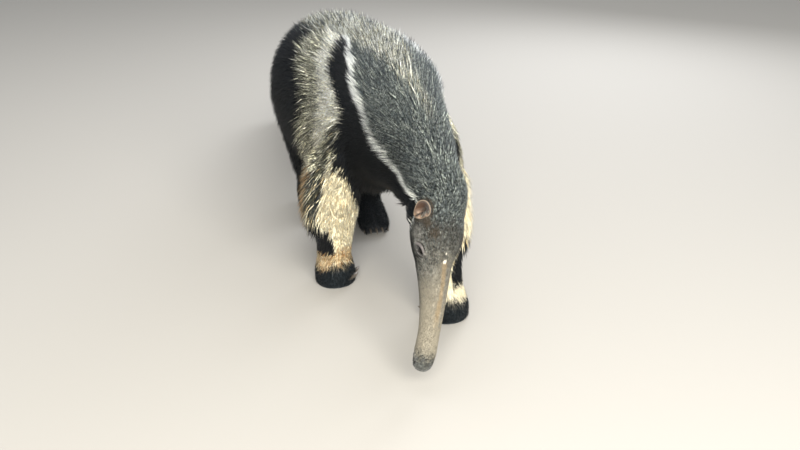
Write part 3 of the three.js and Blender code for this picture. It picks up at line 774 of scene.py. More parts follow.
@dataclass
class Face:
    """Relief of the head's skin: lids, folds, nostrils, mouth and the nose's wrinkles. All in mm.

    Attributes:
        slit_long: half length of the eye's opening.
        slit_wide: half width of it.
        slit_turn: turn of the slit from the head's length towards the bridge, in radians.
        slit_from_tip: distance of its middle from the snout tip.
        slit_angle: its angle from the bridge, in radians.
        reach: mm of a radian round the head there.
        wrinkle: waves of the fine wrinkles.
        fold: waves of the soft folds.
    """

    slit_long: float = 11.5
    slit_wide: float = 5.3
    slit_turn: float = math.radians(42)
    slit_from_tip: float = 229.5
    slit_angle: float = math.radians(90)
    reach: float = 43.0
    wrinkle: Drift = field(default_factory=lambda: Drift(5, 31))
    fold: Drift = field(default_factory=lambda: Drift(22, 32))

    # Edge, groove and fold of the lids: height, distance from the slit and width, above the slit and below it
    LIDS = (
        ((2.0, 2.6, 1.7), (1.3, 1.4, 1.0)),
        ((-1.8, 6.6, 1.0), (-1.0, 4.2, 1.2)),
        ((1.2, 9.4, 1.5), (0.6, 6.8, 1.4)),
    )
    NOSTRIL_AT, NOSTRIL_ANGLE, NOSTRIL_REACH = 18, math.radians(108), 20

    def eye_places(self, s: np.ndarray, a: np.ndarray) -> tuple[np.ndarray, np.ndarray]:
        """Return places along and across the slit of the nearer eye."""
        forth = self.slit_from_tip - s
        up = (self.slit_angle - from_bridge(a)) * self.reach
        c, n = math.cos(self.slit_turn), math.sin(self.slit_turn)
        return forth * c + up * n, up * c - forth * n

    def slit(self, s: np.ndarray, a: np.ndarray) -> tuple[np.ndarray, ...]:
        """Return places along and across the nearer eye's slit, above its bent middle and beyond its edge."""
        along, across = self.eye_places(s, a)
        half = self.slit_wide * np.clip(1 - (along / self.slit_long) ** 2, 0.0, 1) ** 0.8
        bend = across + 0.06 * along
        return along, across, bend, np.abs(bend) - half

    def nostril_ring(self, s: np.ndarray, phi: np.ndarray) -> np.ndarray:
        """Return the distance from the middle of the nostril, shortened along the snout."""
        return np.hypot((s - self.NOSTRIL_AT) / 1.3, (phi - self.NOSTRIL_ANGLE) * self.NOSTRIL_REACH)

    def nostril(self, s: np.ndarray, phi: np.ndarray) -> np.ndarray:
        """Return how deep each place lies in the comma of the nostril, 0 to 1."""
        turn = np.arctan2((phi - self.NOSTRIL_ANGLE) * self.NOSTRIL_REACH, -(s - self.NOSTRIL_AT))
        return bell(self.nostril_ring(s, phi) - 3.8, 1.7) * step(np.cos(turn - 0.6), -0.75, -0.3)

    def mouth(self, s: np.ndarray, phi: np.ndarray) -> tuple[np.ndarray, np.ndarray]:
        """Return the distance behind the mouth's slit and how open the slit is there, 0 to 1."""
        below = np.degrees(math.pi - phi)
        return s - (4 + 26 * np.clip((below - 15) / 45, 0, 1)), step(below, 66, 58)

    def relief(self, s: np.ndarray, a: np.ndarray, where: np.ndarray) -> np.ndarray:
        """Return the height of the relief over the plain skin at each place."""
        phi = from_bridge(a)
        along, across, bend, beyond = self.slit(s, a)
        ring = np.hypot(along / 1.5, across)
        ends = step(self.slit_long + 3.5 - np.abs(along), 0, 5)
        upper = np.where(bend > 0, 1.0, 0.0)
        out = 2.4 * bell(ring, 9.5)
        for (high, far, wide), (low, near, slim) in self.LIDS:
            out += ends * (upper * high * bell(beyond - far, wide) + (1 - upper) * low * bell(beyond - near, slim))
        out -= 0.8 * bell(ring - 14.5, 1.0) * step(-bend, -4, 6)
        out -= 7.5 * np.where((np.abs(along) < self.slit_long) & (beyond < 0.5), step(0.5 - beyond, 0, 1.6), 0)
        ear = np.hypot(s - EAR_FROM_TIP - 1, (phi - EAR_ANGLE) * 50)
        out -= 11 * step(17 - ear, 0, 5)
        near_tip, fold = step(70 - s, 0, 45), self.fold.at(where)
        out += 0.22 * near_tip * self.wrinkle.at(where) + 0.5 * fold * step(s, 150, 230)
        out += 0.18 * near_tip * np.sin(s * 1.7 + 1.5 * fold)
        out -= 3.2 * self.nostril(s, phi)
        out += 1.1 * bell(self.nostril_ring(s, phi) - 8.2, 1.6)
        behind, open_there = self.mouth(s, phi)
        out -= 2.0 * bell(behind, 1.3) * open_there
        out += 0.7 * bell(behind - 4, 1.6) * open_there
        return out

    def lids(self, s: np.ndarray, a: np.ndarray) -> tuple[np.ndarray, np.ndarray]:
        """Return how far the pale bare lids, and the painted shade in the hollow round them and at the eye's corners,
        cover each place, 0 to 1.
        """
        along, across, bend, beyond = self.slit(s, a)
        ends = step(self.slit_long + 3.0 - np.abs(along), 0, 4)
        under = 0.4 * bell(beyond - 1.5, 0.8) * step(along, -5, 0)
        pale = ends * np.where(bend > 0, bell(beyond - 2.6, 1.6), under)
        # painted shade: darker bands outside the lids and at both corners of the eye
        lid_shade = ends * np.where(bend > 0, 0.75 * bell(beyond - 6.4, 1.1), 0.85 * bell(beyond - 5.0, 2.2))
        corner_shade = 0.5 * bell(along - 17, 5) * bell(across, 4) + 0.4 * bell(along + 15, 4) * bell(across, 3)
        return pale, np.maximum(lid_shade, corner_shade)

    def shade(self, s: np.ndarray, a: np.ndarray) -> np.ndarray:
        """Return how dark the eye's, nostril's and mouth's hollows are, 0 to 1."""
        phi = from_bridge(a)
        along, _, _, beyond = self.slit(s, a)
        dark = np.where(np.abs(along) < self.slit_long + 1, step(0.9 - beyond, 0, 0.8), 0)
        behind, open_there = self.mouth(s, phi)
        return np.maximum(np.maximum(dark, self.nostril(s, phi)), bell(behind, 1.3) * open_there)


def from_ear(s: np.ndarray, phi: np.ndarray) -> np.ndarray:
    """Return the distance from the ear's middle in mm, phi in degrees from the top."""
    return np.hypot(s - EAR_FROM_TIP - 1, (phi - math.degrees(EAR_ANGLE)) * 0.87)


@dataclass
class Markings:
    """The stripe, borders and bands of the body, alike on both sides.

    Attributes:
        line: upper edge of the stripe as place along the body against angle from the top.
        white: width of the white line over it in degrees, along the body.
        stripe_rear: rear edge of the stripe as angle from the top against Y.
        border_rear: rear edge of the whitish border, the same way.
        band_rear: rear edge of the grizzled band.
        crest: angle to which the pale crest reaches, against Y.
        face: places of the eye's opening.
    """

    line: tuple = (
        (272, 126), (288, 116), (304, 111), (356, 113), (388, 109), (412, 104), (437, 102), (467, 98), (484, 92),
        (500, 88), (514, 77), (529, 66), (547, 58), (557, 54), (565, 50), (584, 39), (606, 35), (626, 29), (651, 22),
        (690, 20),
    )
    white: tuple = ((270, 5.5), (400, 5.5), (460, 6.5), (590, 7), (620, 5), (650, 3.5), (690, 2.5))
    stripe_rear: tuple = (
        (20, 90), (25, 72), (30, 68), (36, 57), (43, 42), (54, 16), (58, -9), (63, -27), (67, -45), (72, -58),
        (77, -67), (83, -65), (94, -56), (101, -46), (108, -38), (115, -23), (123, -8), (130, 6), (140, 12),
    )
    border_rear: tuple = (
        (16, 190), (26, 126), (37, 104), (48, 78), (58, 38), (67, 17), (78, 12), (87, 12), (97, 24), (108, 43),
        (120, 71),
    )
    band_rear: tuple = (
        (20, 190), (34, 226), (44, 226), (56, 178), (66, 123), (78, 88), (91, 91), (108, 129), (130, 170), (150, 80),
    )
    crest: tuple = ((-200, -8), (-164, 4), (-105, 9), (-13, 15), (93, 20), (240, 28))
    face: Face = field(default_factory=Face)

    # Places along the body where the stripe begins, the face's tones end and the nose ends
    NECK_FROM, FACE_END, NOSE_END = HEAD_LENGTH - 80, 285, 36
    # Y at which the black chest ends and at which the tail begins
    CHEST_END, TAIL_FROM = 60, 600
    # Angles from the top at which the chest, the border, the band and the flank begin
    CHEST_ANGLE, BORDER_ANGLE, BAND_ANGLE, FLANK_ANGLE = 116, 19, 21, 27
    # Heights on a foreleg: end of the ring, start of the band, and reach of the fringe and of the dark wrist
    RING_END, BAND_FROM, FRINGE, WRIST = 100, 212, (105, 330), (84, 205)
    # Heights over which a foreleg has the body's tones, beside and before the line at the last distance
    SHOULDER_FROM, BREAST_FROM, BREAST_SIDE = 332, 335, 26

    def __post_init__(self) -> None:
        self.line_s, self.line_a = np.array(self.line, float).T
        self.wander = Drift(60, 5)
        self.fleck = Drift(17, 6)

    def body_tones(self, s: np.ndarray, a: np.ndarray, where: np.ndarray, rng: np.random.Generator) -> np.ndarray:
        """Choose the tone of each tuft on head, neck, trunk and tail.

        Args:
            s: distance along the body.
            a: angle round it.
            where: places in mm.
            rng: random source.

        Returns:
            The place of a tone in the tables for each tuft.
        """
        n = len(s)
        phi, y = from_top(a), where[:, 1]
        drift = self.wander.at(where)
        line = np.interp(s, self.line_s, self.line_a) + 0.3 * drift + rng.normal(0, 0.35, n)
        tone = pick({Tone.GRIZZLE: 5, Tone.GRIZZLE_PALE: 1.8, Tone.GRIZZLE_DARK: 2.6}, n, rng)
        crest = rng.random(n) < step(table(y, self.crest) + 9 - phi, 0, 16) * (0.9 - 0.3 * step(-y, 60, 150))
        strew(tone, crest, {Tone.CREST: 3.0, Tone.CREST_WHITE: 2.2, Tone.STRAND: 2.6, Tone.GRIZZLE_DARK: 3.0}, rng)
        edges = ((self.stripe_rear, 3, 3.5), (self.border_rear, 6, 8), (self.band_rear, 8, 9))
        rear, border, band = (table(phi, pairs) + w * drift + rng.normal(0, torn_by, n) for pairs, w, torn_by in edges)
        neck = s > self.NECK_FROM
        stripe = neck & (phi > line) & (y < rear)
        edge = neck & (phi > line - table(s, self.white)) & ~stripe & (s < self.line_s[-1])
        stripe |= neck & (y >= rear) & (phi > self.CHEST_ANGLE + 4 * drift) & (y < self.CHEST_END)
        pale = (y >= rear) & (y < border) & (phi > self.BORDER_ANGLE) & ~stripe
        grey = (y >= border) & (y < band) & (phi > self.BAND_ANGLE) & ~stripe
        dark = (y >= band) & (phi > self.FLANK_ANGLE + rng.normal(0, 4, n)) & (y > self.CHEST_END)
        tone[edge] = Tone.WHITE.place
        tone[stripe] = Tone.BLACK.place
        strew(tone, pale, {Tone.BORDER: 5, Tone.WHITE: 2.5, Tone.BAND_PALE: 1.2}, rng)
        strew(tone, grey, {Tone.BAND_PALE: 5, Tone.BAND_DARK: 4.5, Tone.BORDER: 1}, rng)
        strew(tone, dark, {Tone.FLANK: 6, Tone.BLACK: 3, Tone.TAIL_DARK: 0.3}, rng)
        tail = y > self.TAIL_FROM + rng.normal(0, 25, n)
        strew(tone, tail, {Tone.TAIL_DARK: 6, Tone.FLANK: 3, Tone.TAIL_PALE: 1.6}, rng)
        self.face_tones(s, a, where, tone, rng)
        return tone

    def face_tones(
        self, s: np.ndarray, a: np.ndarray, where: np.ndarray, tone: np.ndarray, rng: np.random.Generator
    ) -> None:
        """Overlay the tones of the face and snout, with painted shade round the eye, under the cheek, on the snout's
        lower half and round the ear, and a painted highlight on the bridge.

        Args:
            s: distance from the snout tip along the body.
            a: angle round it.
            where: places in mm.
            tone: tones so far, which are changed.
            rng: random source.
        """
        n = len(s)
        phi, aside = from_top(a), (np.degrees(a) + 90) % 360 - 180
        free = tone != Tone.BLACK.place
        face = (s < self.FACE_END + 10 * self.wander.at(where) + rng.normal(0, 14, n)) & free
        strew(tone, face, {Tone.FACE: 6, Tone.GRIZZLE: 2, Tone.FACE_PALE: 1.5}, rng)
        drift = self.fleck.at(where)
        start = table(phi, ((0, 222), (40, 214), (90, 204), (120, 178), (180, 165))) + 8 * drift
        snout = s < start + rng.normal(0, 1, n) * table(phi, ((0, 10), (60, 20), (180, 26)))
        greyness = table(s, ((40, 0.12), (110, 0.16), (150, 0.5), (190, 1.0), (230, 1.3)))
        # the grey grows towards the head as the snout's own colour; the extra grey on its lower half is painted shade
        grey = rng.random(n) < greyness - 0.2 + 0.35 * step(phi, 88, 120)
        tone[snout] = np.where(grey, Tone.SNOUT_GREY.place, Tone.SNOUT.place)[snout]
        shade = snout & (rng.random(n) < bell(s - 204, 17) * step(phi, 20, 60) * 0.7)
        tone[shade] = Tone.FACE_PALE.place
        side = (s < 200) & (s > 90) & (rng.random(n) < bell(aside + 9, 4.5) * 0.75)
        tone[side] = Tone.FACE_PALE.place
        tan = bell(aside - 6 - 9 * step(160 - s, 0, 60), 6.5 + 6 * step(150 - s, 0, 50))
        tan = tan * step(s, 70, 130) * step(218 - s, 0, 12)
        tone[torn(tan, 0.45, 0.22, rng)] = Tone.SNOUT_TAN.place
        # painted highlight: two small pale spots on the bridge ahead of the eye
        spot = (np.hypot(s - 212, (aside - 7.5) * 0.65) < 4.0) | (np.hypot(s - 228, (aside - 8) * 0.7) < 1.6)
        tone[spot] = Tone.SPOT.place
        brow = torn(bell(s - 262, 11) * bell(phi - 92, 12), 0.45, 0.16, rng) & free
        tone[brow] = Tone.FACE_PALE.place
        patch = np.maximum(bell(s - 280, 9) * bell(phi - 70, 10), 0.9 * bell(s - 263, 10) * bell(phi - 48, 12))
        tone[torn(patch, 0.5, 0.24, rng) & free] = Tone.BROWN.place
        # painted shade on the hair round the lids, and under the cheek beside and below the eye
        _, lid_shade = self.face.lids(s, a)
        cheek = bell(s - 226, 22) * step(phi, 104, 118) * step(168 - phi, 0, 30)
        tone[free & torn(np.maximum(lid_shade, cheek * 0.85), 0.4, 0.16, rng)] = Tone.HOLLOW.place
        # painted shadow of the ear's rim: a ring of the brown tone round the ear, left off on its underside
        ring = bell(from_ear(s, phi) - 21, 2.6) * step(130 - phi, 0, 30)
        tone[free & torn(ring, 0.4, 0.2, rng)] = Tone.BROWN.place
        nose = s < self.NOSE_END + 5 * drift + rng.normal(0, 9, n)
        deep = rng.random(n) < 0.22 + 0.3 * step(drift, -0.1, 0.5)
        tone[nose] = np.where(deep, Tone.NOSE_DARK.place, Tone.NOSE.place)[nose]

    def foreleg_tones(self, a: np.ndarray, where: np.ndarray, side: Side, rng: np.random.Generator) -> np.ndarray:
        """Choose the tone of each tuft on a foreleg.

        Args:
            a: angle round the leg.
            where: places in mm.
            side: side of the animal.
            rng: random source.

        Returns:
            The place of a tone in the tables for each tuft.
        """
        n = len(a)
        right = side is Side.RIGHT
        turn = leg_turn(a, side)
        z = where[:, 2] + 5 * self.fleck.at(where) + rng.normal(0, 4, n)
        fore = LEG_PLACES[f"foreleg_{side.name.lower()}"].axis(z)[1] - where[:, 1] + rng.normal(0, 5, n)
        tone = pick({Tone.CREAM: 8, Tone.CREAM_DEEP: 1.4}, n, rng)
        upper = (z > self.SHOULDER_FROM + rng.normal(0, 20, n)) & (fore < self.BREAST_SIDE)
        strew(tone, upper, {Tone.BAND_PALE: 5, Tone.BAND_DARK: 5, Tone.BORDER: 1}, rng)
        pale = (z > self.BREAST_FROM + rng.normal(0, 16, n)) & (fore >= self.BREAST_SIDE)
        strew(tone, pale, {Tone.BORDER: 2, Tone.BAND_PALE: 4, Tone.BAND_DARK: 2}, rng)
        strew(tone, (z < self.RING_END) & right, {Tone.CREAM: 1.2, Tone.CREAM_DEEP: 4, Tone.FRINGE: 4.5}, rng)
        within = table(z, ((215, 38), (280, 43), (330, 30))) if right else -12
        band = (turn > -6) & (turn < within) & (z > self.BAND_FROM) & ~upper & (rng.random(n) < 0.93)
        strew(tone, band, {Tone.BAND_DARK: 4.5, Tone.GRIZZLE_DARK: 4, Tone.CREAM_DEEP: 0.8}, rng)
        within = (z > self.FRINGE[0]) & (z < self.FRINGE[1])
        fringe = (turn < -4) & (turn > -150) & within & (rng.random(n) < 0.85)
        rear = fringe & ((turn < -45) | (not right))
        strew(tone, fringe, {Tone.FRINGE: 3.4, Tone.CREAM_DEEP: 1.2}, rng)
        strew(tone, rear, {Tone.FRINGE: 0.5, Tone.CREAM_DEEP: 1.4, Tone.CREAM: 3}, rng)
        chest = turn > table(z, ((300, 60), (341, 50), (359, 45), (381, 36), (402, 24), (412, 45), (440, 60)))
        lowest = ((43, 339), (62, 336), (73, 320), (84, 304), (97, 294), (109, 282), (121, 252), (150, 215))
        chest &= z > table(turn, lowest)
        chest |= (turn < -140) & (z > 230)
        tone[chest] = Tone.BLACK.place
        round_wrist = table(z, ((84, 80), (130, 74), (165, 54), (205, 14)))
        wrist = (turn > -45) & (turn < round_wrist) & (z > self.WRIST[0]) & (z < self.WRIST[1])
        tone[wrist] = Tone.BLACK.place
        tone[z < table(turn, ((-90, 44), (20, 44), (80, 56), (180, 56)))] = Tone.TOE.place
        return tone


def leg_turn(a: np.ndarray, side: Side) -> np.ndarray:
    """Return the angle round a leg in degrees: 0 outside, 90 in front, -90 behind."""
    turn = np.degrees(a) if side is Side.RIGHT else 180 - np.degrees(a)
    return (turn + 180) % 360 - 180


# ---------------------------------------------------------------- the skin


def deselect() -> None:
    """Leave object mode with nothing selected."""
    if bpy.context.object and bpy.context.object.mode != "OBJECT":
        bpy.ops.object.mode_set(mode="OBJECT")
    bpy.ops.object.select_all(action="DESELECT")


def vertex_places(mesh: bpy.types.Mesh) -> np.ndarray:
    """Return the mesh's points in the body's measures."""
    flat = np.zeros(len(mesh.vertices) * 3, np.float32)
    mesh.vertices.foreach_get("co", flat)
    return flat.reshape(-1, 3) / MM - ORIGIN


def place_vertices(mesh: bpy.types.Mesh, points: np.ndarray) -> None:
    """Set the mesh's points to places in the body's measures."""
    mesh.vertices.foreach_set("co", to_frame(points.reshape(-1, 3)).astype(np.float32).ravel())


def smooth_faces(mesh: bpy.types.Mesh) -> None:
    """Shade all faces smoothly."""
    mesh.polygons.foreach_set("use_smooth", np.ones(len(mesh.polygons), bool))


def write_bare(mesh: bpy.types.Mesh, values: np.ndarray) -> None:
    """Write how bare or worn the mesh is at each point, 0 to 1."""
    mesh.attributes.new("bare", "FLOAT", "POINT").data.foreach_set("value", values.astype(np.float32))


def rolled_grid(name: str, points: np.ndarray) -> bpy.types.Object:
    """Roll a grid into a closed tube.

    Args:
        name: name of the new object.
        points: places in mm, rings by angle; the end rings shrink to poles and the last angle meets the first.

    Returns:
        The object, its doubles merged and its faces turned outwards.
    """
    points[0], points[-1] = points[0].mean(0), points[-1].mean(0)
    points[:, -1] = points[:, 0]
    deselect()
    rings, around = points.shape[:2]
    bpy.ops.mesh.primitive_grid_add(x_subdivisions=around - 1, y_subdivisions=rings - 1, size=1)
    piece = bpy.context.object
    piece.name = piece.data.name = name
    place_vertices(piece.data, points)
    bpy.ops.object.mode_set(mode="EDIT")
    bpy.ops.mesh.select_all(action="SELECT")
    bpy.ops.mesh.remove_doubles(threshold=2e-6)
    bpy.ops.mesh.normals_make_consistent(inside=False)
    bpy.ops.object.mode_set(mode="OBJECT")
    piece.select_set(False)
    return piece


def even_places(low: float, high: float, pace: Callable[[np.ndarray], np.ndarray]) -> np.ndarray:
    """Return places from low to high whose gaps follow a pace in the same unit."""
    fine = np.linspace(low, high, 6000)
    count = np.concatenate([[0], np.cumsum((fine[1] - fine[0]) / pace((fine[1:] + fine[:-1]) / 2))])
    return np.interp(np.linspace(0, count[-1], max(3, int(round(count[-1])) + 1)), count, fine)


@dataclass
class Skin:
    """One skin from the nose over head, neck, trunk, tail and legs, with no seam."""

    body: Tube
    legs: dict[str, Tube]
    feet: dict[str, Tube]
    marks: Markings

    def spine_places(self) -> tuple[np.ndarray, np.ndarray]:
        """Return the s of the rings and the angles, closer together at the eyes and the nose."""
        paces = (
            (0, 0.8), (30, 0.9), (50, 1.6), (190, 1.8), (214, 0.9), (250, 0.9), (275, 1.8), (345, 2.5), (430, 7),
            (1100, 9), (1900, 12),
        )

        def turn(a: np.ndarray) -> np.ndarray:
            at_eye = bell(from_bridge(a) - EYE_ANGLE, math.radians(13))
            return math.radians(3.0) - math.radians(1.9) * at_eye

        rings = even_places(0.0, self.body.length, lambda s: table(s, paces))
        return rings, even_places(-math.pi, math.pi, turn)

    def tube_piece(self, name: str, tube: Tube, s: np.ndarray, a: np.ndarray, relief: bool) -> bpy.types.Object:
        """Return one closed tube of the skin.

        Args:
            name: name of the object.
            tube: the flesh it follows.
            s: places of the rings.
            a: angles round it.
            relief: whether the face's relief is on it.

        Returns:
            The object.
        """
        grid_s, grid_a = np.meshgrid(s, a, indexing="ij")
        flat_s, flat_a = grid_s.ravel(), grid_a.ravel()
        places = tube.point(flat_s, flat_a, 0.0)
        if relief:
            head = flat_s < HEAD_LENGTH
            hs, ha = flat_s[head], flat_a[head]
            ps = tube.point(hs + 0.5, ha, 0.0) - tube.point(np.maximum(hs - 0.5, 0), ha, 0.0)
            pa = tube.point(hs, ha + 0.01, 0.0) - tube.point(hs, ha - 0.01, 0.0)
            out = unit(np.cross(pa, ps))
            middle = np.stack([np.interp(hs, tube.s, tube.centre[:, i]) for i in range(3)], 1)
            out *= np.sign(np.sum(out * (places[head] - middle), axis=1))[:, None]
            places[head] += out * self.marks.face.relief(hs, ha, places[head])[:, None]
        places[:, 2] = np.maximum(places[:, 2], 0.0)
        return rolled_grid(name, places.reshape(len(s), len(a), 3))

    def build(self, finish: bpy.types.Material) -> bpy.types.Object:
        """Join the tubes into one closed skin.

        Args:
            finish: the hide's material.

        Returns:
            The skin.
        """
        s, a = self.spine_places()
        skin = self.tube_piece("skin", self.body, s, a, True)
        around = np.linspace(-math.pi, math.pi, 49)
        for name, tube in {**self.legs, **self.feet}.items():
            rings = np.linspace(0, tube.length, int(tube.length / 6) + 2)
            piece = self.tube_piece(name + "_flesh", tube, rings, around, False)
            join = skin.modifiers.new("join", "BOOLEAN")
            join.operation, join.solver, join.object = "UNION", "MANIFOLD", piece
            bpy.context.view_layer.objects.active = skin
            bpy.ops.object.modifier_apply(modifier=join.name)
            bpy.data.objects.remove(piece)
        skin.data.materials.clear()
        skin.data.materials.append(finish)
        smooth_faces(skin.data)
        self.paint(skin.data)
        return skin

    def paint(self, mesh: bpy.types.Mesh) -> None:
        """Write the same markings on the skin as on the coat, the pale lids, painted shade round the lids and in the
        eye's, nostril's and mouth's hollows, and where it is bare.
        """
        where = vertex_places(mesh)
        rng = np.random.default_rng(77)
        s, a, off = nearest_places(self.body, where)
        tone = skin_tones(self.marks.body_tones(s, a, where, rng))
        for name, tube in {**self.legs, **self.feet}.items():
            _, turn, far = nearest_places(tube, where)
            kinds = np.full(len(where), Tone.BLACK.place)
            if name.startswith("fore"):
                kinds = self.marks.foreleg_tones(turn, where, LEG_PLACES[name].side, rng)
            tone = np.where((far < off)[:, None], skin_tones(kinds), tone)
            off = np.minimum(off, far)
        head = s < HEAD_LENGTH
        tone = spread(mesh, tone, np.where(head, 5, 1))
        shares = (*self.marks.face.lids(s, a), self.marks.face.shade(s, a))
        pale, lid_shade, dark = (np.where(head, share, 0)[:, None] for share in shares)
        # laid over the skin in turn: the pale bare lids, painted shade round the lids, and painted shade in the eye,
        # nostril and mouth
        for code, fleck, share in (("585250", 0.1, pale), ("262420", 0.1, lid_shade), ("15100d", 0.0, dark)):
            tone = laid_over(tone, np.array([*linear(code), fleck]), share)
        write_tones(mesh, tone[:, :3], tone[:, 3])
        write_bare(mesh, (step(40 - s, 0, 30) + 0.6 * step(dark[:, 0], 0, 1)).clip(0, 1))


def skin_tones(kinds: np.ndarray) -> np.ndarray:
    """Return colour and flecks of the skin under tufts of these tones."""
    return np.hstack([TONE_TABLE[kinds][:, 1:].mean(1), FLECKS[kinds][:, None]])


def nearest_places(tube: Tube, where: np.ndarray) -> tuple[np.ndarray, np.ndarray, np.ndarray]:
    """Find the places of points on a tube.

    Args:
        tube: the tube.
        where: places in mm.

    Returns:
        For each place its s, its angle and how far it is outside the skin's section, as a share.
    """
    s, a, off = np.zeros(len(where)), np.zeros(len(where)), np.zeros(len(where))
    for part in np.array_split(np.arange(len(where)), max(1, len(where) // 8000)):
        away = where[part, None, :] - tube.centre[None, :, :]
        far = np.abs(np.einsum("ijk,jk->ij", away, tube.along)) + 0.12 * np.linalg.norm(away, axis=2)
        i = far.argmin(1)
        got = away[np.arange(len(part)), i]
        x, y, on = (np.sum(got * way[i], 1) for way in (tube.side, tube.over, tube.along))
        tall = np.where(y > 0, tube.flesh[i, 1], tube.flesh[i, 2])
        ax = np.sign(x) * np.abs(x / tube.flesh[i, 0]) ** (tube.square / 2)
        ay = np.sign(y) * np.abs(y / tall) ** (tube.square / 2)
        s[part], a[part] = tube.s[i] + on, np.arctan2(ay, ax)
        off[part] = np.hypot(ax, ay) - 1 + np.maximum(0, np.abs(on) - 12) / 20
    return s, a, np.abs(off)


def spread(mesh: bpy.types.Mesh, values: np.ndarray, rounds: np.ndarray) -> np.ndarray:
    """Blend values with those of neighbouring points, a number of rounds each."""
    edges = np.zeros(len(mesh.edges) * 2, np.int32)
    mesh.edges.foreach_get("vertices", edges)
    edges = edges.reshape(-1, 2)
    count = np.bincount(edges.ravel(), minlength=len(values))[:, None]
    for i in range(int(rounds.max())):
        total = np.zeros_like(values)
        np.add.at(total, edges[:, 0], values[edges[:, 1]])
        np.add.at(total, edges[:, 1], values[edges[:, 0]])
        mixed = values * 0.4 + 0.6 * total / np.maximum(count, 1)
        values = np.where((rounds > i)[:, None], mixed, values)
    return values


def write_tones(mesh: bpy.types.Mesh, tones: np.ndarray, flecks: np.ndarray | float = 0.0) -> None:
    """Write linear colours to the mesh's points as coat_tone, with the strength of its flecks as the fourth value."""
    layer = mesh.color_attributes.new("coat_tone", "FLOAT_COLOR", "POINT")
    flat = np.ones((len(tones), 4), np.float32)
    flat[:, :3] = tones
    flat[:, 3] = flecks
    layer.data.foreach_set("color", flat.ravel())


# ---------------------------------------------------------------- tufts


LOWEST_ROOT = 4  # height over the floor in mm under which nothing grows
ROOT_MARGIN = 1.0  # depth inside other flesh in mm from which no tuft starts
ROOT_HEIGHT = -0.12  # where tufts start, as a share of the coat's depth
LONG_SPREAD, WIDE_SPREAD = (0.72, 1.18), (0.75, 1.25)
TRIES = 4.5  # places tried for each tuft
EVEN_STEPS = (0.7548776662466927, 0.5698402909980532)  # fill a square evenly
TAPER = ((0, 0.75), (0.35, 1.0), (1, 0.35))  # a tuft's width by share of its length
PATCH = 0.003  # size of a tuft in the bake map


@dataclass
class Growth:
    """Where and how a stretch of coat grows on a tube.

    Attributes:
        tube: the flesh that it grows from.
        count: number of tufts before those inside other flesh are dropped.
        low: start of the stretch along the tube in mm.
        high: its end.
        rings: rings of each tuft under its tip.
        tone: function of s, a, places and random source that returns the tones.
        length: function of s and angle that returns lengths in mm.
        width: function of s and angle that returns the width of a tuft in mm.
        lift: lowest and highest share of the coat's depth that the tips reach.
        fall: function of s and angle that returns the turn from the tube's length downwards, in degrees.
        window: first and last u of its place in the bake map.
        share: function of s and angle that returns how dense it grows, 0 to 1.
        droop: drop of the tips under their own weight, as a share of the length.
        wild: spread of the lie in degrees.
        bow: below 1 the tuft rises early, above 1 late.
        swirl: turn of the lie towards larger angles, in degrees.
        shown: share of the tuft's length at which its marking is read.
        seed: seed of its draws.
        measure: turns the tube's angle into the degrees that the functions take.
        rise: function of s and angle that scales the height of the tips.
    """

    tube: Tube
    count: int
    low: float
    high: float
    rings: int
    tone: Callable
    length: Callable
    width: Callable
    lift: tuple[float, float]
    fall: Callable
    window: tuple[float, float] = (0.02, 0.98)
    share: Optional[Callable] = None
    droop: float = 0.0
    wild: float = 9.0
    bow: float = 1.05
    swirl: float = 0.0
    shown: float = 0.75
    seed: int = 1
    measure: Callable = from_top
    rise: Optional[Callable] = None


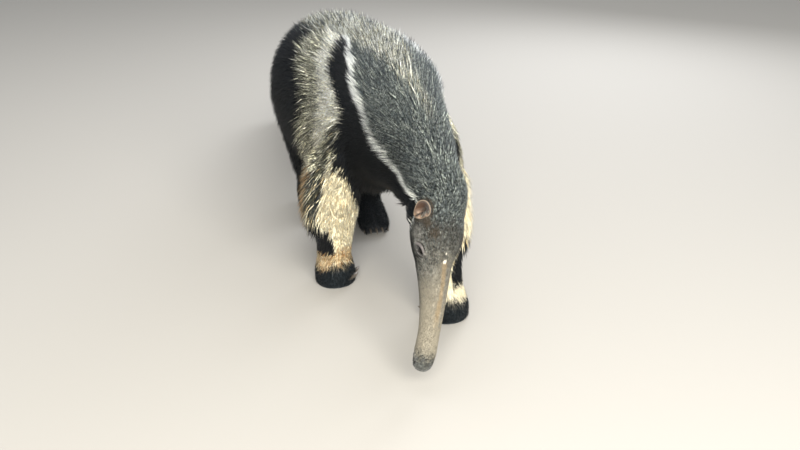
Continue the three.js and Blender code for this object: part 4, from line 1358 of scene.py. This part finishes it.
class Coat:
    """A piece of coat: many tufts, each a slim three-sided lock with its root under the skin."""

    def __init__(self, name: str, slot: Slot, others: tuple[Tube, ...], only: tuple[int, ...] = ()) -> None:
        """Start an empty piece.

        Args:
            name: name of the piece.
            slot: its material slot.
            others: tubes of flesh in which no tuft starts.
            only: tones that are kept, or all where none is given.
        """
        self.name = name
        self.only = only
        self.slot = slot
        self.others = others
        self.points, self.faces, self.tones, self.flecks, self.patches = [], [], [], [], []
        self.total = 0

    def grow(self, g: Growth) -> None:
        """Add the tufts of one growth."""
        rng = np.random.default_rng(g.seed)
        s, a = self.roots(g, rng)
        skin_at = g.tube.point(s, a, 0.0)
        keep = skin_at[:, 2] > LOWEST_ROOT
        for other in self.others:
            keep &= ~other.holds(skin_at, ROOT_MARGIN)
        s, a, skin_at = s[keep], a[keep], skin_at[keep]
        n = len(s)
        phi = g.measure(a)
        waves = ((26, 3), (48, 4), (19, 5))
        longer, astray, higher = (Drift(size, g.seed + i).at(skin_at) for size, i in waves)
        down = np.where(np.cos(a) > 0, -1.0, 1.0)
        long = g.length(s, phi) * rng.uniform(*LONG_SPREAD, n) * (1 + 0.12 * longer)
        fall = g.fall(s, phi) + rng.normal(0, g.wild, n) + 7 * astray
        turn = np.radians(fall * down + g.swirl)
        per_s, per_a = g.tube.spans(s, a)
        ds = long * np.cos(turn) / np.maximum(per_s, 0.25)
        da = long * np.sin(turn) / np.maximum(per_a, 4.0)
        top = rng.uniform(*g.lift, n) * (1 + 0.1 * higher)
        if g.rise is not None:
            top = top * g.rise(s, phi)
        us = np.arange(g.rings + 1) / g.rings
        bow = 1 + rng.normal(0, 0.12, n)
        path = []
        for u in us:
            h = ROOT_HEIGHT + (top - ROOT_HEIGHT) * u ** g.bow
            at = g.tube.point(np.clip(s + ds * u, 0, None), a + da * u * bow, h)
            past = np.maximum(0, s + ds * u - g.tube.length)[:, None]
            at = at + g.tube.along[-1] * past - (at - g.tube.centre[-1]) * np.clip(past / 150, 0, 0.8)
            at[:, 2] -= g.droop * long * u * u
            path.append(at)
        path = np.stack(path, 1)
        path[:, :, 2] = np.maximum(path[:, :, 2], 2.0 + 2.0 * us[None, :])
        wide = g.width(s, phi) * rng.uniform(*WIDE_SPREAD, n)
        read_s, read_a = s + ds * g.shown, a + da * g.shown
        tone = g.tone(read_s, read_a, g.tube.point(read_s, read_a, 0.9), rng)
        kept = np.isin(tone, self.only) if self.only else np.ones(n, bool)
        self.lay(g, s[kept], a[kept], path[kept], wide[kept], tone[kept], rng)

    def roots(self, g: Growth, rng: np.random.Generator) -> tuple[np.ndarray, np.ndarray]:
        """Return root places spread evenly over the stretch."""
        tries = int(g.count * TRIES)
        k = np.arange(1, tries + 1)
        s = g.low + (g.high - g.low) * ((0.5 + k * EVEN_STEPS[0]) % 1)
        a = 2 * math.pi * ((0.5 + k * EVEN_STEPS[1]) % 1) - math.pi
        per_s, per_a = g.tube.spans(s, a)
        weight = per_s * per_a
        if g.share is not None:
            weight = weight * g.share(s, g.measure(a))
        weight = weight / np.quantile(weight, 0.995)
        mean = max(weight.clip(0, 1).mean(), 1e-6)
        hit = rng.random(tries) < weight * min(1.0, g.count / tries / mean)
        return s[hit], a[hit]

    def lay(
        self, g: Growth, s: np.ndarray, a: np.ndarray, path: np.ndarray, wide: np.ndarray, tone: np.ndarray,
        rng: np.random.Generator,
    ) -> None:
        """Turn the tufts' paths into faces, colours and patches of the bake map."""
        n, k = len(s), g.rings
        count = 3 * k + 1
        ahead = unit(np.concatenate([path[:, 1:] - path[:, :-1], path[:, -1:] - path[:, -2:-1]], 1))
        out = unit(g.tube.point(s, a, 1.0) - g.tube.point(s, a, 0.0))[:, None, :]
        spin = rng.normal(0, 0.35, n)[:, None, None]
        across = unit(np.cross(ahead, np.broadcast_to(out, ahead.shape)))
        over = np.cross(across, ahead)
        c, n_spin = np.cos(spin), np.sin(spin)
        across, over = across * c + over * n_spin, over * c - across * n_spin
        half = wide[:, None, None] * table(np.arange(k) / k, TAPER)[None, :, None] / 2
        base = path[:, :k]
        rings = [base - across[:, :k] * half, base + over[:, :k] * half * 0.8, base + across[:, :k] * half]
        points = np.concatenate([np.stack(rings, 2).reshape(n, 3 * k, 3), path[:, k:]], 1)
        faces = [(0, 1, 2)]
        for j in range(k - 1):
            for i in range(3):
                p, q = 3 * j + i, 3 * j + (i + 1) % 3
                faces += [(p, p + 3, q + 3), (p, q + 3, q)]
        faces += [(3 * (k - 1) + i, 3 * k, 3 * (k - 1) + (i + 1) % 3) for i in range(3)]
        self.points.append(points.reshape(-1, 3))
        starts = self.total + np.arange(n) * count
        self.faces.append((starts[:, None, None] + np.array(faces)[None]).reshape(-1, 3))
        self.total += n * count
        levels = np.concatenate([np.repeat(np.arange(k) / k, 3), [1.0]])
        light = np.exp(rng.normal(0, 1, n) * (0.05 + 0.12 * FLECKS[tone].clip(0, 0.8)))
        root, middle, tip = (TONE_TABLE[tone] * light[:, None, None]).transpose(1, 0, 2)
        low = root[:, None] + (middle - root)[:, None] * np.minimum(levels * 2, 1)[None, :, None]
        tones = low + (tip - middle)[:, None] * np.maximum(levels * 2 - 1, 0)[None, :, None]
        self.tones.append(tones.reshape(-1, 3))
        self.flecks.append(np.repeat(FLECKS[tone], count))
        v = 0.01 + 0.98 * (a / (2 * math.pi) + 0.5)
        across_uv = np.concatenate([np.tile([0.0, 0.5, 1.0], k), [0.5]])
        along_uv = levels + np.concatenate([np.tile([0.0, 0.12, 0.0], k), [0.0]])
        patch = np.stack([PATCH * (across_uv - 0.5) + 0 * v[:, None], v[:, None] + PATCH * (along_uv - 0.5)], -1)
        self.patches.append((g.window, s, patch))

    def bake_map(self) -> np.ndarray:
        """Return the map place of each point; the stretch of skin that the piece covers fills its window."""
        ends: dict = {}
        for window, s, _ in self.patches:
            low, high = ends.get(window, (math.inf, -math.inf))
            ends[window] = (min(low, s.min()), max(high, s.max()))
        placed = []
        for window, s, patch in self.patches:
            low, high = ends[window]
            u = window[0] + (window[1] - window[0]) * (s - low) / max(high - low, 1.0)
            placed.append((patch + np.stack([u, 0 * u], -1)[:, None]).reshape(-1, 2))
        return np.concatenate(placed)

    def build(self, finish: bpy.types.Material) -> None:
        """Make the piece with its material, markings and bake map."""
        faces = np.concatenate(self.faces)
        points = np.concatenate(self.points)
        mesh = bpy.data.meshes.new(self.name)
        mesh.vertices.add(len(points))
        place_vertices(mesh, points)
        mesh.loops.add(faces.size)
        mesh.loops.foreach_set("vertex_index", faces.astype(np.int32).ravel())
        mesh.polygons.add(len(faces))
        mesh.polygons.foreach_set("loop_start", np.arange(0, faces.size, 3, dtype=np.int32))
        smooth_faces(mesh)
        mesh.update(calc_edges=True)
        write_tones(mesh, np.concatenate(self.tones), np.concatenate(self.flecks))
        layer = mesh.uv_layers.new(name="OFBake")
        layer.uv.foreach_set("vector", self.bake_map()[faces.ravel()].astype(np.float32).ravel())
        mesh.materials.append(finish)
        piece = bpy.data.objects.new(self.name, mesh)
        bpy.context.scene.collection.objects.link(piece)
        settle(piece, self.slot)


def settle(piece: bpy.types.Object, slot: Slot) -> None:
    """Let a finished piece ride on the animal and report it."""
    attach(piece, "root")
    LOG.info("%s: %d triangles", piece.name, sum(len(p.vertices) - 2 for p in piece.data.polygons))


# ---------------------------------------------------------------- the coat


@dataclass
class AnimalCoat:
    """The whole coat, piece by piece."""

    body: Tube
    legs: dict[str, Tube]
    feet: dict[str, Tube]
    marks: Markings

    def __post_init__(self) -> None:
        places = [self.body.row_place(i) for i in range(self.body.rows)]
        self.neck, self.chest, self.barrel = places[11] - 60, places[14] + 10, places[16]
        self.rump, self.tail = places[18] + 10, places[21] + 15
        self.hidden = tuple(self.legs.values())

    def body_growth(self, count: int, low: float, high: float, rings: int, seed: int, **changes: object) -> Growth:
        """Return a growth on head, neck, trunk or tail, with its usual length and lie."""
        plain = {
            "length": self.body_length,
            "width": by_place((0, 0.8), (200, 1.0), (300, 1.3), (400, 1.6), (600, 2.0), (1100, 2.6)),
            "lift": (0.8, 1.03),
            "fall": self.body_fall,
            "share": self.clear,
        }
        return Growth(self.body, count, low, high, rings, self.marks.body_tones, seed=seed, **(plain | changes))

    def body_length(self, s: np.ndarray, phi: np.ndarray) -> np.ndarray:
        """Return the length of the body's hair in mm."""
        face = ((0, 4), (150, 6), (230, 7), (300, 11), (380, 20))
        top = table(s, face + ((500, 30), (700, 42), (1000, 50), (1300, 60)))
        low = table(s, face + ((500, 32), (700, 48), (1000, 60), (1300, 80)))
        return (top + (low - top) * step(phi, 60, 120)) * (1 - 0.55 * step(phi, 115, 150) * step(560 - s, 0, 120))

    def flank_rise(self, s: np.ndarray, phi: np.ndarray) -> np.ndarray:
        """Return how the coat stands fuller on the flanks and the neck."""
        return 1 + 0.42 * bell(phi - 95, 30) * step(s, 640, 760) * step(1180 - s, 0, 120) + 0.12 * bell(s - 560, 90)

    def body_fall(self, s: np.ndarray, phi: np.ndarray) -> np.ndarray:
        """Return the turn of the hair's lie from backwards to downwards in degrees."""
        falls = ((0, 0), (250, 4), (350, 10), (500, 18), (650, 28), (850, 44), (1100, 46), (1300, 34), (1700, 20))
        return step(phi, 8, 60) * (1 - 0.55 * step(phi, 120, 175)) * table(s, falls)

    def clear(self, s: np.ndarray, phi: np.ndarray) -> np.ndarray:
        """Return how dense the hair grows: none in the eye, the nostril and the ear's cup, sparse at the nose."""
        along, across = self.marks.face.eye_places(s, np.radians(90 + phi))
        nose = step(self.marks.face.nostril_ring(s, np.radians(phi)), 6.5, 8.5)
        eye = step(np.hypot(along / 1.5, across), 8.6, 10.6)
        return step(s, 4, 34) * eye * step(from_ear(s, phi), 12.5, 15) * nose

    def build(self, hair: dict[Slot, bpy.types.Material]) -> None:
        """Make all pieces of the coat from the hair's materials by slot."""
        for coat in self.coats():
            coat.build(hair[coat.slot])

    def coats(self) -> Iterator[Coat]:
        """Grow the pieces from the face to the hind feet."""
        yield self.face()
        yield from self.trunk()
        yield self.edging()
        yield self.throat()
        yield self.crest()
        yield self.plume()
        for name, tube in self.legs.items():
            yield self.leg_coat(name, tube)

    def face(self) -> Coat:
        """Return the nap of head and snout."""
        coat = Coat("coat_face", Slot.FACE, ())
        coat.grow(
            self.body_growth(
                36000, 6, self.neck, 1, 11, lift=(0.7, 1.4), bow=1.0, wild=7.0,
                rise=lambda s, phi: 0.75 + 0.25 * step(s, 150, 260),
            )
        )
        return coat

    def trunk(self) -> Iterator[Coat]:
        """Grow the pieces from the neck to the rump: dense short tufts, and longer ones over them."""
        for name, fine, long, low, high, seed in (
            ("coat_neck", 42000, 0, self.neck, self.chest, 21),
            ("coat_shoulders", 34000, 4000, self.chest, self.barrel, 22),
            ("coat_barrel", 24000, 5000, self.barrel, self.rump, 23),
            ("coat_rump", 16000, 5000, self.rump, self.tail, 24),
        ):
            coat = Coat(name, Slot.GREY, self.hidden)
            coat.grow(self.body_growth(fine, low, high, 1, seed, wild=12.0, rise=self.flank_rise))
            if long:
                looks = {"lift": (0.95, 1.1), "bow": 0.85, "width": even(2.4), "rise": self.flank_rise}
                coat.grow(self.body_growth(long, low, high, 2, seed + 40, **looks))
            yield coat

    def edging(self) -> Coat:
        """Return the white line over the stripe."""
        coat = Coat("coat_line", Slot.GREY, self.hidden, (Tone.WHITE.place,))
        places, angles = self.marks.line_s, self.marks.line_a
        coat.grow(
            self.body_growth(
                9000, places[0] - 8, places[-1], 2, 28, length=lambda s, phi: self.body_length(s, phi) * 0.6,
                lift=(0.95, 1.12), bow=1.0, wild=8.0, width=even(1.6), shown=0.6,
                share=lambda s, phi: bell(phi + 3.2 - np.interp(s, places, angles), 2.4),
            )
        )
        return coat

    def throat(self) -> Coat:
        """Return the black hair under head and neck."""
        coat = Coat("coat_throat", Slot.BLACK, self.hidden)
        for count, low, high, long, lift, seed in (
            (1300, 276, 306, 16, (1.5, 3.1), 27),
            (1500, 302, 335, 23, (1.15, 2.25), 29),
            (1800, 335, 450, 32, (0.85, 1.25), 30),
        ):
            coat.grow(
                self.body_growth(
                    count, low, high, 2, seed, length=even(long), lift=lift, bow=0.95, wild=8.0, width=even(2.0),
                    share=lambda s, phi: step(phi, 114, 124), fall=even(6), shown=0.0,
                )
            )
        return coat

    def crest(self) -> Coat:
        """Return the raised pale crest along the back."""
        coat = Coat("coat_crest", Slot.GREY, ())
        coat.grow(
            self.body_growth(
                9000, self.neck + 60, self.tail, 2, 31, lift=(0.9, 1.3), wild=15.0, bow=0.7,
                length=by_place((self.neck, 24), (self.chest, 40), (self.rump, 70)), fall=lambda s, phi: phi * 0.6,
                share=lambda s, phi: step(34 - phi, 0, 24), width=by_place((self.neck, 1.8), (self.rump, 2.6)),
            )
        )
        return coat

    def plume(self) -> Coat:
        """Return the tail's long hanging hair over a shorter inner coat."""
        coat = Coat("coat_tail", Slot.TAIL, ())
        end = self.body.length

        def outer(s: np.ndarray, phi: np.ndarray) -> np.ndarray:
            return (120 + 95 * step(phi, 40, 150)) * (0.25 + 0.75 * step(end + 60 - s, -60, 330))

        def inner(s: np.ndarray, phi: np.ndarray) -> np.ndarray:
            return (66 + 20 * step(phi, 40, 150)) * step(end + 20 - s, -60, 200)

        coat.grow(
            self.body_growth(
                5200, self.tail - 40, end - 12, 4, 41, length=outer, lift=(0.35, 1.0), droop=0.04, width=even(4.2),
                fall=lambda s, phi: 18 + 26 * step(phi, 10, 80) - 30 * step(phi, 130, 180), bow=0.9, wild=6.0,
            )
        )
        coat.grow(
            self.body_growth(
                5200, self.tail - 60, end - 4, 2, 42, length=inner, lift=(0.15, 0.4),
                fall=lambda s, phi: 12 + 10 * step(phi, 10, 80), width=even(4.0),
            )
        )
        return coat

    def leg_coat(self, name: str, tube: Tube) -> Coat:
        """Return the coat of one leg and its foot."""
        side = LEG_PLACES[name].side
        coat = Coat("coat_" + name, Slot.CREAM if name.startswith("fore") else Slot.BLACK, (self.body,))
        number = sum(map(ord, name)) % 97
        end = tube.length
        wide = by_place((0, 2.6), (300, 2.1), (end - 90, 1.6))
        hair = ((0, 50), (200, 44), (300, 32), (end - 130, 22))

        def grow(on: Tube, count: int, low: float, high: float, rings: int, **looks: object) -> None:
            looks["seed"] += number
            coat.grow(Growth(on, count, low, high, rings, **looks))

        if name.startswith("fore"):
            shared = {
                "tone": lambda s, a, where, rng: self.marks.foreleg_tones(a, where, side, rng),
                "measure": lambda a: leg_turn(a, side),
            }
            grow(
                tube, 13500, 4, end - 95, 2, length=by_place(*hair, (end - 80, 13)), width=wide, lift=(0.7, 1.12),
                fall=even(8), seed=50, wild=12.0, rise=lambda s, phi: 1 - 0.6 * bell(phi - 105, 36),
                swirl=9.0 * side.value, **shared,
            )
            grow(
                tube, 6500, end - 110, end - 4, 1, length=even(9.5), width=even(1.5), lift=(0.6, 1.0), fall=even(6),
                seed=80, **shared,
            )
            grow(
                tube, 4200, 130, end - 185, 2, length=by_place((100, 50), (200, 66), (end - 185, 46)), width=even(2.0),
                lift=(1.0, 2.7 if side is Side.RIGHT else 1.9), fall=even(4), seed=90, bow=0.95, wild=12.0, shown=0.2,
                share=lambda s, phi: bell(phi + 26, 28), **shared,
            )
            return coat

        def tone(s: np.ndarray, a: np.ndarray, where: np.ndarray, rng: np.random.Generator) -> np.ndarray:
            return pick({Tone.FLANK: 5, Tone.BLACK: 5, Tone.TAIL_DARK: 0.4}, len(s), rng)

        shared = {"tone": tone, "measure": lambda a: leg_turn(a, side), "window": (0.02, 0.56)}
        grow(
            tube, 11000, 4, end - 20, 2, length=by_place(*hair, (end - 80, 20)), width=wide, lift=(0.7, 1.5),
            fall=even(8), seed=50, wild=12.0, rise=lambda s, phi: 1 + 0.5 * step(s, 190, 300), **shared,
        )
        grow(
            tube, 3500, end - 110, end - 4, 1, length=even(9.5), width=even(1.5), lift=(0.6, 1.0), fall=even(6),
            seed=80, **shared,
        )
        foot = self.feet[name.replace("leg", "foot")]
        grow(
            foot, 6300, 0, foot.length - 1, 1, tone=tone, length=even(15), width=even(1.9), lift=(0.6, 2.0),
            fall=even(12), window=(0.6, 0.98), seed=60, wild=14.0,
        )
        return coat


# ---------------------------------------------------------------- ears, eyes, claws


def dress(piece: bpy.types.Object, finish: bpy.types.Material, slot: Slot, node: str) -> None:
    """Give a piece its material and smooth faces, and hide the node that it stands for."""
    piece.data.materials.clear()
    piece.data.materials.append(finish)
    smooth_faces(piece.data)
    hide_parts(node)
    settle(piece, slot)


@dataclass
class Ear:
    """Small ear: a high arch behind and above the canal, running out into the cheek, with lobes. All in mm.

    Attributes:
        side: side of the animal.
        back: distance of its middle from the snout tip.
        angle: its angle from the bridge, in radians.
        reach: how far out it stands, as a share of the head's section.
        rim: size of the rim by turn in degrees, 0 towards the cheek and 90 at the top.
        high: height of the rim by turn.
        profile: section as share of the rim's size, share of its height and depth under that.
        lobes: across, up, size and height of each mound in the cup.
        slit: across and up of the groove's ends.
    """

    side: Side
    back: float = EAR_FROM_TIP
    angle: float = EAR_ANGLE
    reach: float = 1.04
    # Rows of the sampled profile inside the cup, and how much closer the left ear lies
    INNER_ROWS = 42
    TUCK = 0.08

    rim: tuple = (
        (-180, 20.5), (-140, 19.5), (-117, 16), (-74, 19), (-52, 19.5), (-35, 19.5), (-12, 15), (20, 12.5), (50, 13.5),
        (98, 19), (128, 21), (160, 20), (180, 20.5),
    )
    high: tuple = (
        (-180, 11), (-150, 8), (-117, 4.5), (-74, 1.5), (-35, -1), (-12, 0), (20, 5), (50, 8), (98, 10), (150, 12),
        (180, 11),
    )
    profile: tuple = (
        (0.0, 0, -8), (0.2, 0, -7.5), (0.36, 0, -6), (0.52, 0.12, -4), (0.68, 0.34, -2.4), (0.8, 0.62, -1.0),
        (0.88, 0.9, -0.3), (0.92, 1.0, 0.2), (0.96, 1.03, 0.4), (1.0, 1.0, 0), (1.02, 0.88, -0.6), (1.0, 0.6, -2),
        (0.93, 0.3, -5), (0.82, 0.1, -9), (0.65, 0, -13), (0.35, 0, -15), (0.0, 0, -16),
    )
    lobes: tuple = ((6.0, -5.4, 3.4, 6.5), (-9.0, -8.6, 3.0, 5.5), (4.4, -15.0, 2.3, 3.0), (-12.0, -2.0, 2.2, 2.0))
    slit: tuple = ((12.5, -13.0), (-3.0, -4.4))

    def axes(self) -> tuple[np.ndarray, np.ndarray, np.ndarray]:
        """Return the ear's directions across, up and out."""
        out = unit(HEAD_RIGHT * -self.side.value * 0.75 + DORSAL * 0.5 + FORWARD * 0.15)
        tall = -FORWARD
        tall = unit(tall - out * (tall @ out))
        return np.cross(out, tall) * -self.side.value, tall, out

    def groove(self, x: np.ndarray, y: np.ndarray) -> np.ndarray:
        """Return how deep each place lies in the groove between the lobes, 0 to 1."""
        first, last = np.array(self.slit)
        way = (last - first) / np.linalg.norm(last - first)
        along = (x - first[0]) * way[0] + (y - first[1]) * way[1]
        off = (y - first[1]) * way[0] - (x - first[0]) * way[1]
        return bell(off, 1.1) * step(along, -2, 1) * step(np.linalg.norm(last - first) - along, -1, 2)

    def build(self, finish: bpy.types.Material) -> None:
        """Make the ear in its node's place."""
        across, tall, out = self.axes()
        tucked = self.TUCK if self.side is Side.LEFT else 0
        root = on_head(self.back, self.angle, self.side, self.reach - tucked)
        rows = smooth_curve(np.array(self.profile, float), 5)
        turn = np.linspace(-math.pi, math.pi, 97)
        rim, high = (smooth_table(turn, pairs) for pairs in (self.rim, self.high))
        r = rows[:, :1] * rim[None, :]
        z = rows[:, 1:2] * high[None, :] + rows[:, 2:] * (1 - 0.5 * step(-high, -4, 2))[None, :]
        x, y = r * np.cos(turn), r * np.sin(turn)
        inner = (np.arange(len(rows)) < self.INNER_ROWS)[:, None] & (rows[:, :1] < 0.9)
        for px, py, size, tip in self.lobes:
            z = z + np.where(inner, tip * bell(np.hypot(x - px, y - py), size), 0)
        z = z - np.where(inner, 3.5 * self.groove(x, y) + 6 * bell(np.hypot(x + 6, y - 1.5), 2.8), 0)
        grid = root + across * x[..., None] + tall * y[..., None] + out * z[..., None]
        word = self.side.name.lower()
        piece = rolled_grid(f"ear_cup_{word}", grid)
        away = vertex_places(piece.data) - root
        self.paint(piece.data, away @ across, away @ tall, away @ out)
        dress(piece, finish, Slot.EAR, f"ear_{word}")

    def paint(self, mesh: bpy.types.Mesh, x: np.ndarray, y: np.ndarray, z: np.ndarray) -> None:
        """Write the ear's colours: pale rim, partly a painted highlight on its upper arch, pale lobes, warm brown cup,
        grey-brown back, and painted shade in the canal and the groove.
        """
        turn = np.arctan2(y, x)
        r = np.hypot(x, y) / smooth_table(turn, self.rim)
        high = smooth_table(turn, self.high)
        cup = step(0.97 - r, 0, 0.05) * step(z - high * 0.2 + 11, 0, 2)
        deep, light = linear("3d291b"), linear("66523f")
        tone = laid_over(linear("3d342b"), deep + (light - deep) * step(-y, 2, 12)[:, None], cup[:, None])
        # pale rim, strongest along the high upper arch: its own pale edge, partly a painted highlight
        rim = bell(r - 0.965, 0.05) * step(z - high, -2.5, -0.5) * (0.35 + 0.65 * step(high, 1, 6))
        # painted shade in the ear canal, and further on in the groove between the lobes
        canal = np.maximum(bell(np.hypot(x + 6, y - 1.0), 4.0), 0.6 * bell(np.hypot(x + 8, y + 3.0), 3.0))
        covers = [("766857", rim), ("170c06", canal * cup)]
        covers += [("857262", 0.9 * bell(np.hypot(x - px, y - py), size) * cup) for px, py, size, _ in self.lobes]
        for code, share in (*covers, ("1c110a", self.groove(x, y) * cup)):
            tone = laid_over(tone, linear(code), share[:, None])
        write_tones(mesh, tone)
        write_bare(mesh, 0.3 * cup)


@dataclass
class Eye:
    """Small dark eye behind heavy lids, a ball with a slightly raised cornea. All in mm."""

    side: Side
    radius: float = 8.6
    back: float = 230.0
    angle: float = math.radians(88)
    reach: float = 0.77

    def build(self, finish: bpy.types.Material) -> None:
        """Make the eye in its node's place."""
        deselect()
        out = unit(HEAD_RIGHT * -self.side.value + DORSAL * 0.05)
        centre = on_head(self.back, self.angle, self.side, self.reach)
        at = to_frame(centre)
        bpy.ops.mesh.primitive_uv_sphere_add(segments=40, ring_count=24, radius=self.radius * MM, location=at)
        piece = bpy.context.object
        word = self.side.name.lower()
        piece.name = piece.data.name = f"eyeball_{word}"
        bpy.ops.object.transform_apply(location=True, rotation=True, scale=True)
        away = vertex_places(piece.data) - centre
        away *= (1 + 0.06 * step(unit(away) @ out, 0.82, 1.0))[:, None]
        place_vertices(piece.data, away + centre)
        dress(piece, finish, Slot.EYE, f"eye_{word}")


@dataclass
class Claw:
    """One claw: a curved horn, flat below and ridged above. All in mm.

    Attributes:
        node: the node that it stands for.
        root: place of its root.
        heading: direction in which it leaves the foot.
        bend: direction towards which it curves.
        length: length along the curve.
        radius: half thickness at the root.
    """

    node: str
    root: np.ndarray
    heading: np.ndarray
    bend: np.ndarray
    length: float
    radius: float

    def build(self, finish: bpy.types.Material) -> None:
        """Make the claw in its node's place."""
        rings, around = 22, 21
        u = np.linspace(0, 1, rings)
        heading = unit(self.heading)
        bend = unit(self.bend - heading * (self.bend @ heading))
        ahead = heading * np.cos(u)[:, None] + bend * np.sin(u)[:, None]
        moves = np.cumsum(ahead[:-1] * self.length / (rings - 1), axis=0)
        places = self.root + np.concatenate([np.zeros((1, 3)), moves])
        side = unit(np.cross(heading, bend))
        over = np.cross(ahead, side)
        thick = (self.radius * (1 - u**1.7) ** 0.8 + 0.02)[:, None, None]
        t = np.linspace(0, 2 * math.pi, around)
        ridge = np.where(np.sin(t) < 0, 0.75, 1.0 + 0.12 * bell((t - math.pi / 2), 0.25))
        grid = places[:, None] + side * (np.cos(t)[None, :, None] * thick * 0.72)
        grid = grid + over[:, None] * (np.sin(t) * ridge)[None, :, None] * thick
        grid[..., 2] = np.maximum(grid[..., 2], 0.3)
        piece = rolled_grid("horn_" + self.node, grid)
        wear = np.linalg.norm(vertex_places(piece.data) - self.root, axis=1) / self.length
        write_bare(piece.data, wear.clip(0, 1))
        dress(piece, finish, Slot.HORN, self.node)


def claws() -> Iterator[Claw]:
    """Return every claw, turned inwards on the forefeet and forwards on the hind feet."""
    for side in Side:
        word, m = side.name.lower(), side.value
        x, y = LEG_PLACES[f"foreleg_{word}"].foot
        heading, bend = np.array([-m * 0.85, 0.1, 0.12]), np.array([0.0, 1.0, 0.0])
        for i, (dx, dy, z, long, thick) in enumerate(((36, -4, 17, 36, 8), (22, -32, 17, 42, 10)), 1):
            root = np.array([x - m * dx, y + dy, z], float)
            yield Claw(f"fore_claw_{word}_{i}", root, heading, bend, long, thick)
        x, y = LEG_PLACES[f"hindleg_{word}"].foot
        for i in range(5):
            share = (i - 2) / 4
            root = np.array([x - 2 + 62 * share, y - 60 - 12 * (1 - 4 * share**2), 16])
            heading, bend = np.array([0.25 * share, -1, 0.1]), np.array([0.0, 0.0, -1.0])
            yield Claw(f"hind_claw_{word}_{i + 1}", root, heading, bend, 24, 5)


# ---------------------------------------------------------------- studio


@dataclass
class Studio:
    """Camera at the photo's place, pale floor and soft light."""

    camera_at: tuple = (-403.0, -1600.0, 960.0)
    look: tuple = (0.2336, 0.8718, -0.4305)
    lens: float = 36.0
    sensor: float = 36.0
    air: float = 0.75

    def build(self) -> None:
        """Make the floor, the camera and the lights."""
        deselect()
        bpy.ops.mesh.primitive_plane_add(size=16, location=(0, 2, 0))
        floor = bpy.context.object
        floor.name = "studio_floor"
        bpy.ops.object.transform_apply(location=True, rotation=True, scale=True)
        floor.data.materials.append(FloorFinish().material())

        camera = bpy.data.objects.new("photo_camera", bpy.data.cameras.new("photo_camera"))
        camera.data.lens, camera.data.sensor_width = self.lens, self.sensor
        camera.location = to_frame(np.array(self.camera_at))
        camera.rotation_mode = "QUATERNION"
        camera.rotation_quaternion = Vector(self.look).to_track_quat("-Z", "Y")
        bpy.context.scene.collection.objects.link(camera)
        bpy.context.scene.camera = camera

        bpy.context.scene.view_settings.view_transform = "Standard"
        self.light("sky_above", (0.2, 0.6, 3.4), (0.0, 0.0, 0.2), 2.8, 50, "f6f8ff")
        self.light("rim_right", (1.9, 1.6, 1.7), (0.0, -0.2, 0.3), 1.3, 46, "f2f6ff")
        self.light("front_fill", (-0.2, -3.5, 1.8), (0.0, -0.2, 0.25), 3.2, 375, "fdfaf4")
        world = bpy.data.worlds.new("studio_air")
        bpy.context.scene.world = world
        world.use_nodes = True
        background = world.node_tree.nodes["Background"].inputs
        background["Color"].default_value, background["Strength"].default_value = rgba("e4e8ee"), self.air

    def light(self, name: str, at: tuple, to: tuple, size: float, power: float, colour: str) -> None:
        """Hang one square soft light.

        Args:
            name: name of the light.
            at: its place in metres.
            to: the place it faces.
            size: its side in metres.
            power: its power in watts.
            colour: its colour.
        """
        lamp = bpy.data.lights.new(name, "AREA")
        lamp.size, lamp.energy, lamp.color = size, power, linear(colour)
        piece = bpy.data.objects.new(name, lamp)
        piece.location = at
        piece.rotation_euler = (Vector(to) - Vector(at)).to_track_quat("-Z", "Y").to_euler()
        bpy.context.scene.collection.objects.link(piece)


def main() -> None:
    """Build the anteater in order and report each piece."""
    logging.basicConfig(level=logging.INFO, format="%(name)s %(message)s")
    body = spine()
    legs = {name: leg_tube(name) for name in LEG_PLACES}
    feet = {f"hindfoot_{side.name.lower()}": hindfoot_tube(f"hindleg_{side.name.lower()}") for side in Side}
    marks = Markings()
    hide = HideFinish().material()
    skin = Skin(body, legs, feet, marks).build(hide)
    flesh = ["head", "neck", "torso", "tail_base", "tail_end"]
    for side in Side:
        flesh += [f"{part}_{side.name.lower()}" for part in ("foreleg", "forepaw", "hindleg", "hindfoot")]
    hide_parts(*flesh)
    settle(skin, Slot.GREY)
    furry = (Slot.FACE, Slot.GREY, Slot.TAIL, Slot.CREAM, Slot.BLACK)
    hair = {slot: HairFinish(f"guard_hair_{slot.value}").material() for slot in furry}
    AnimalCoat(body, legs, feet, marks).build(hair)
    eye, horn = EyeFinish().material(), HornFinish().material()
    for side in Side:
        Ear(side).build(hide)
        Eye(side).build(eye)
    for claw in claws():
        claw.build(horn)
    Studio().build()


if __name__ == "__main__":
    main()
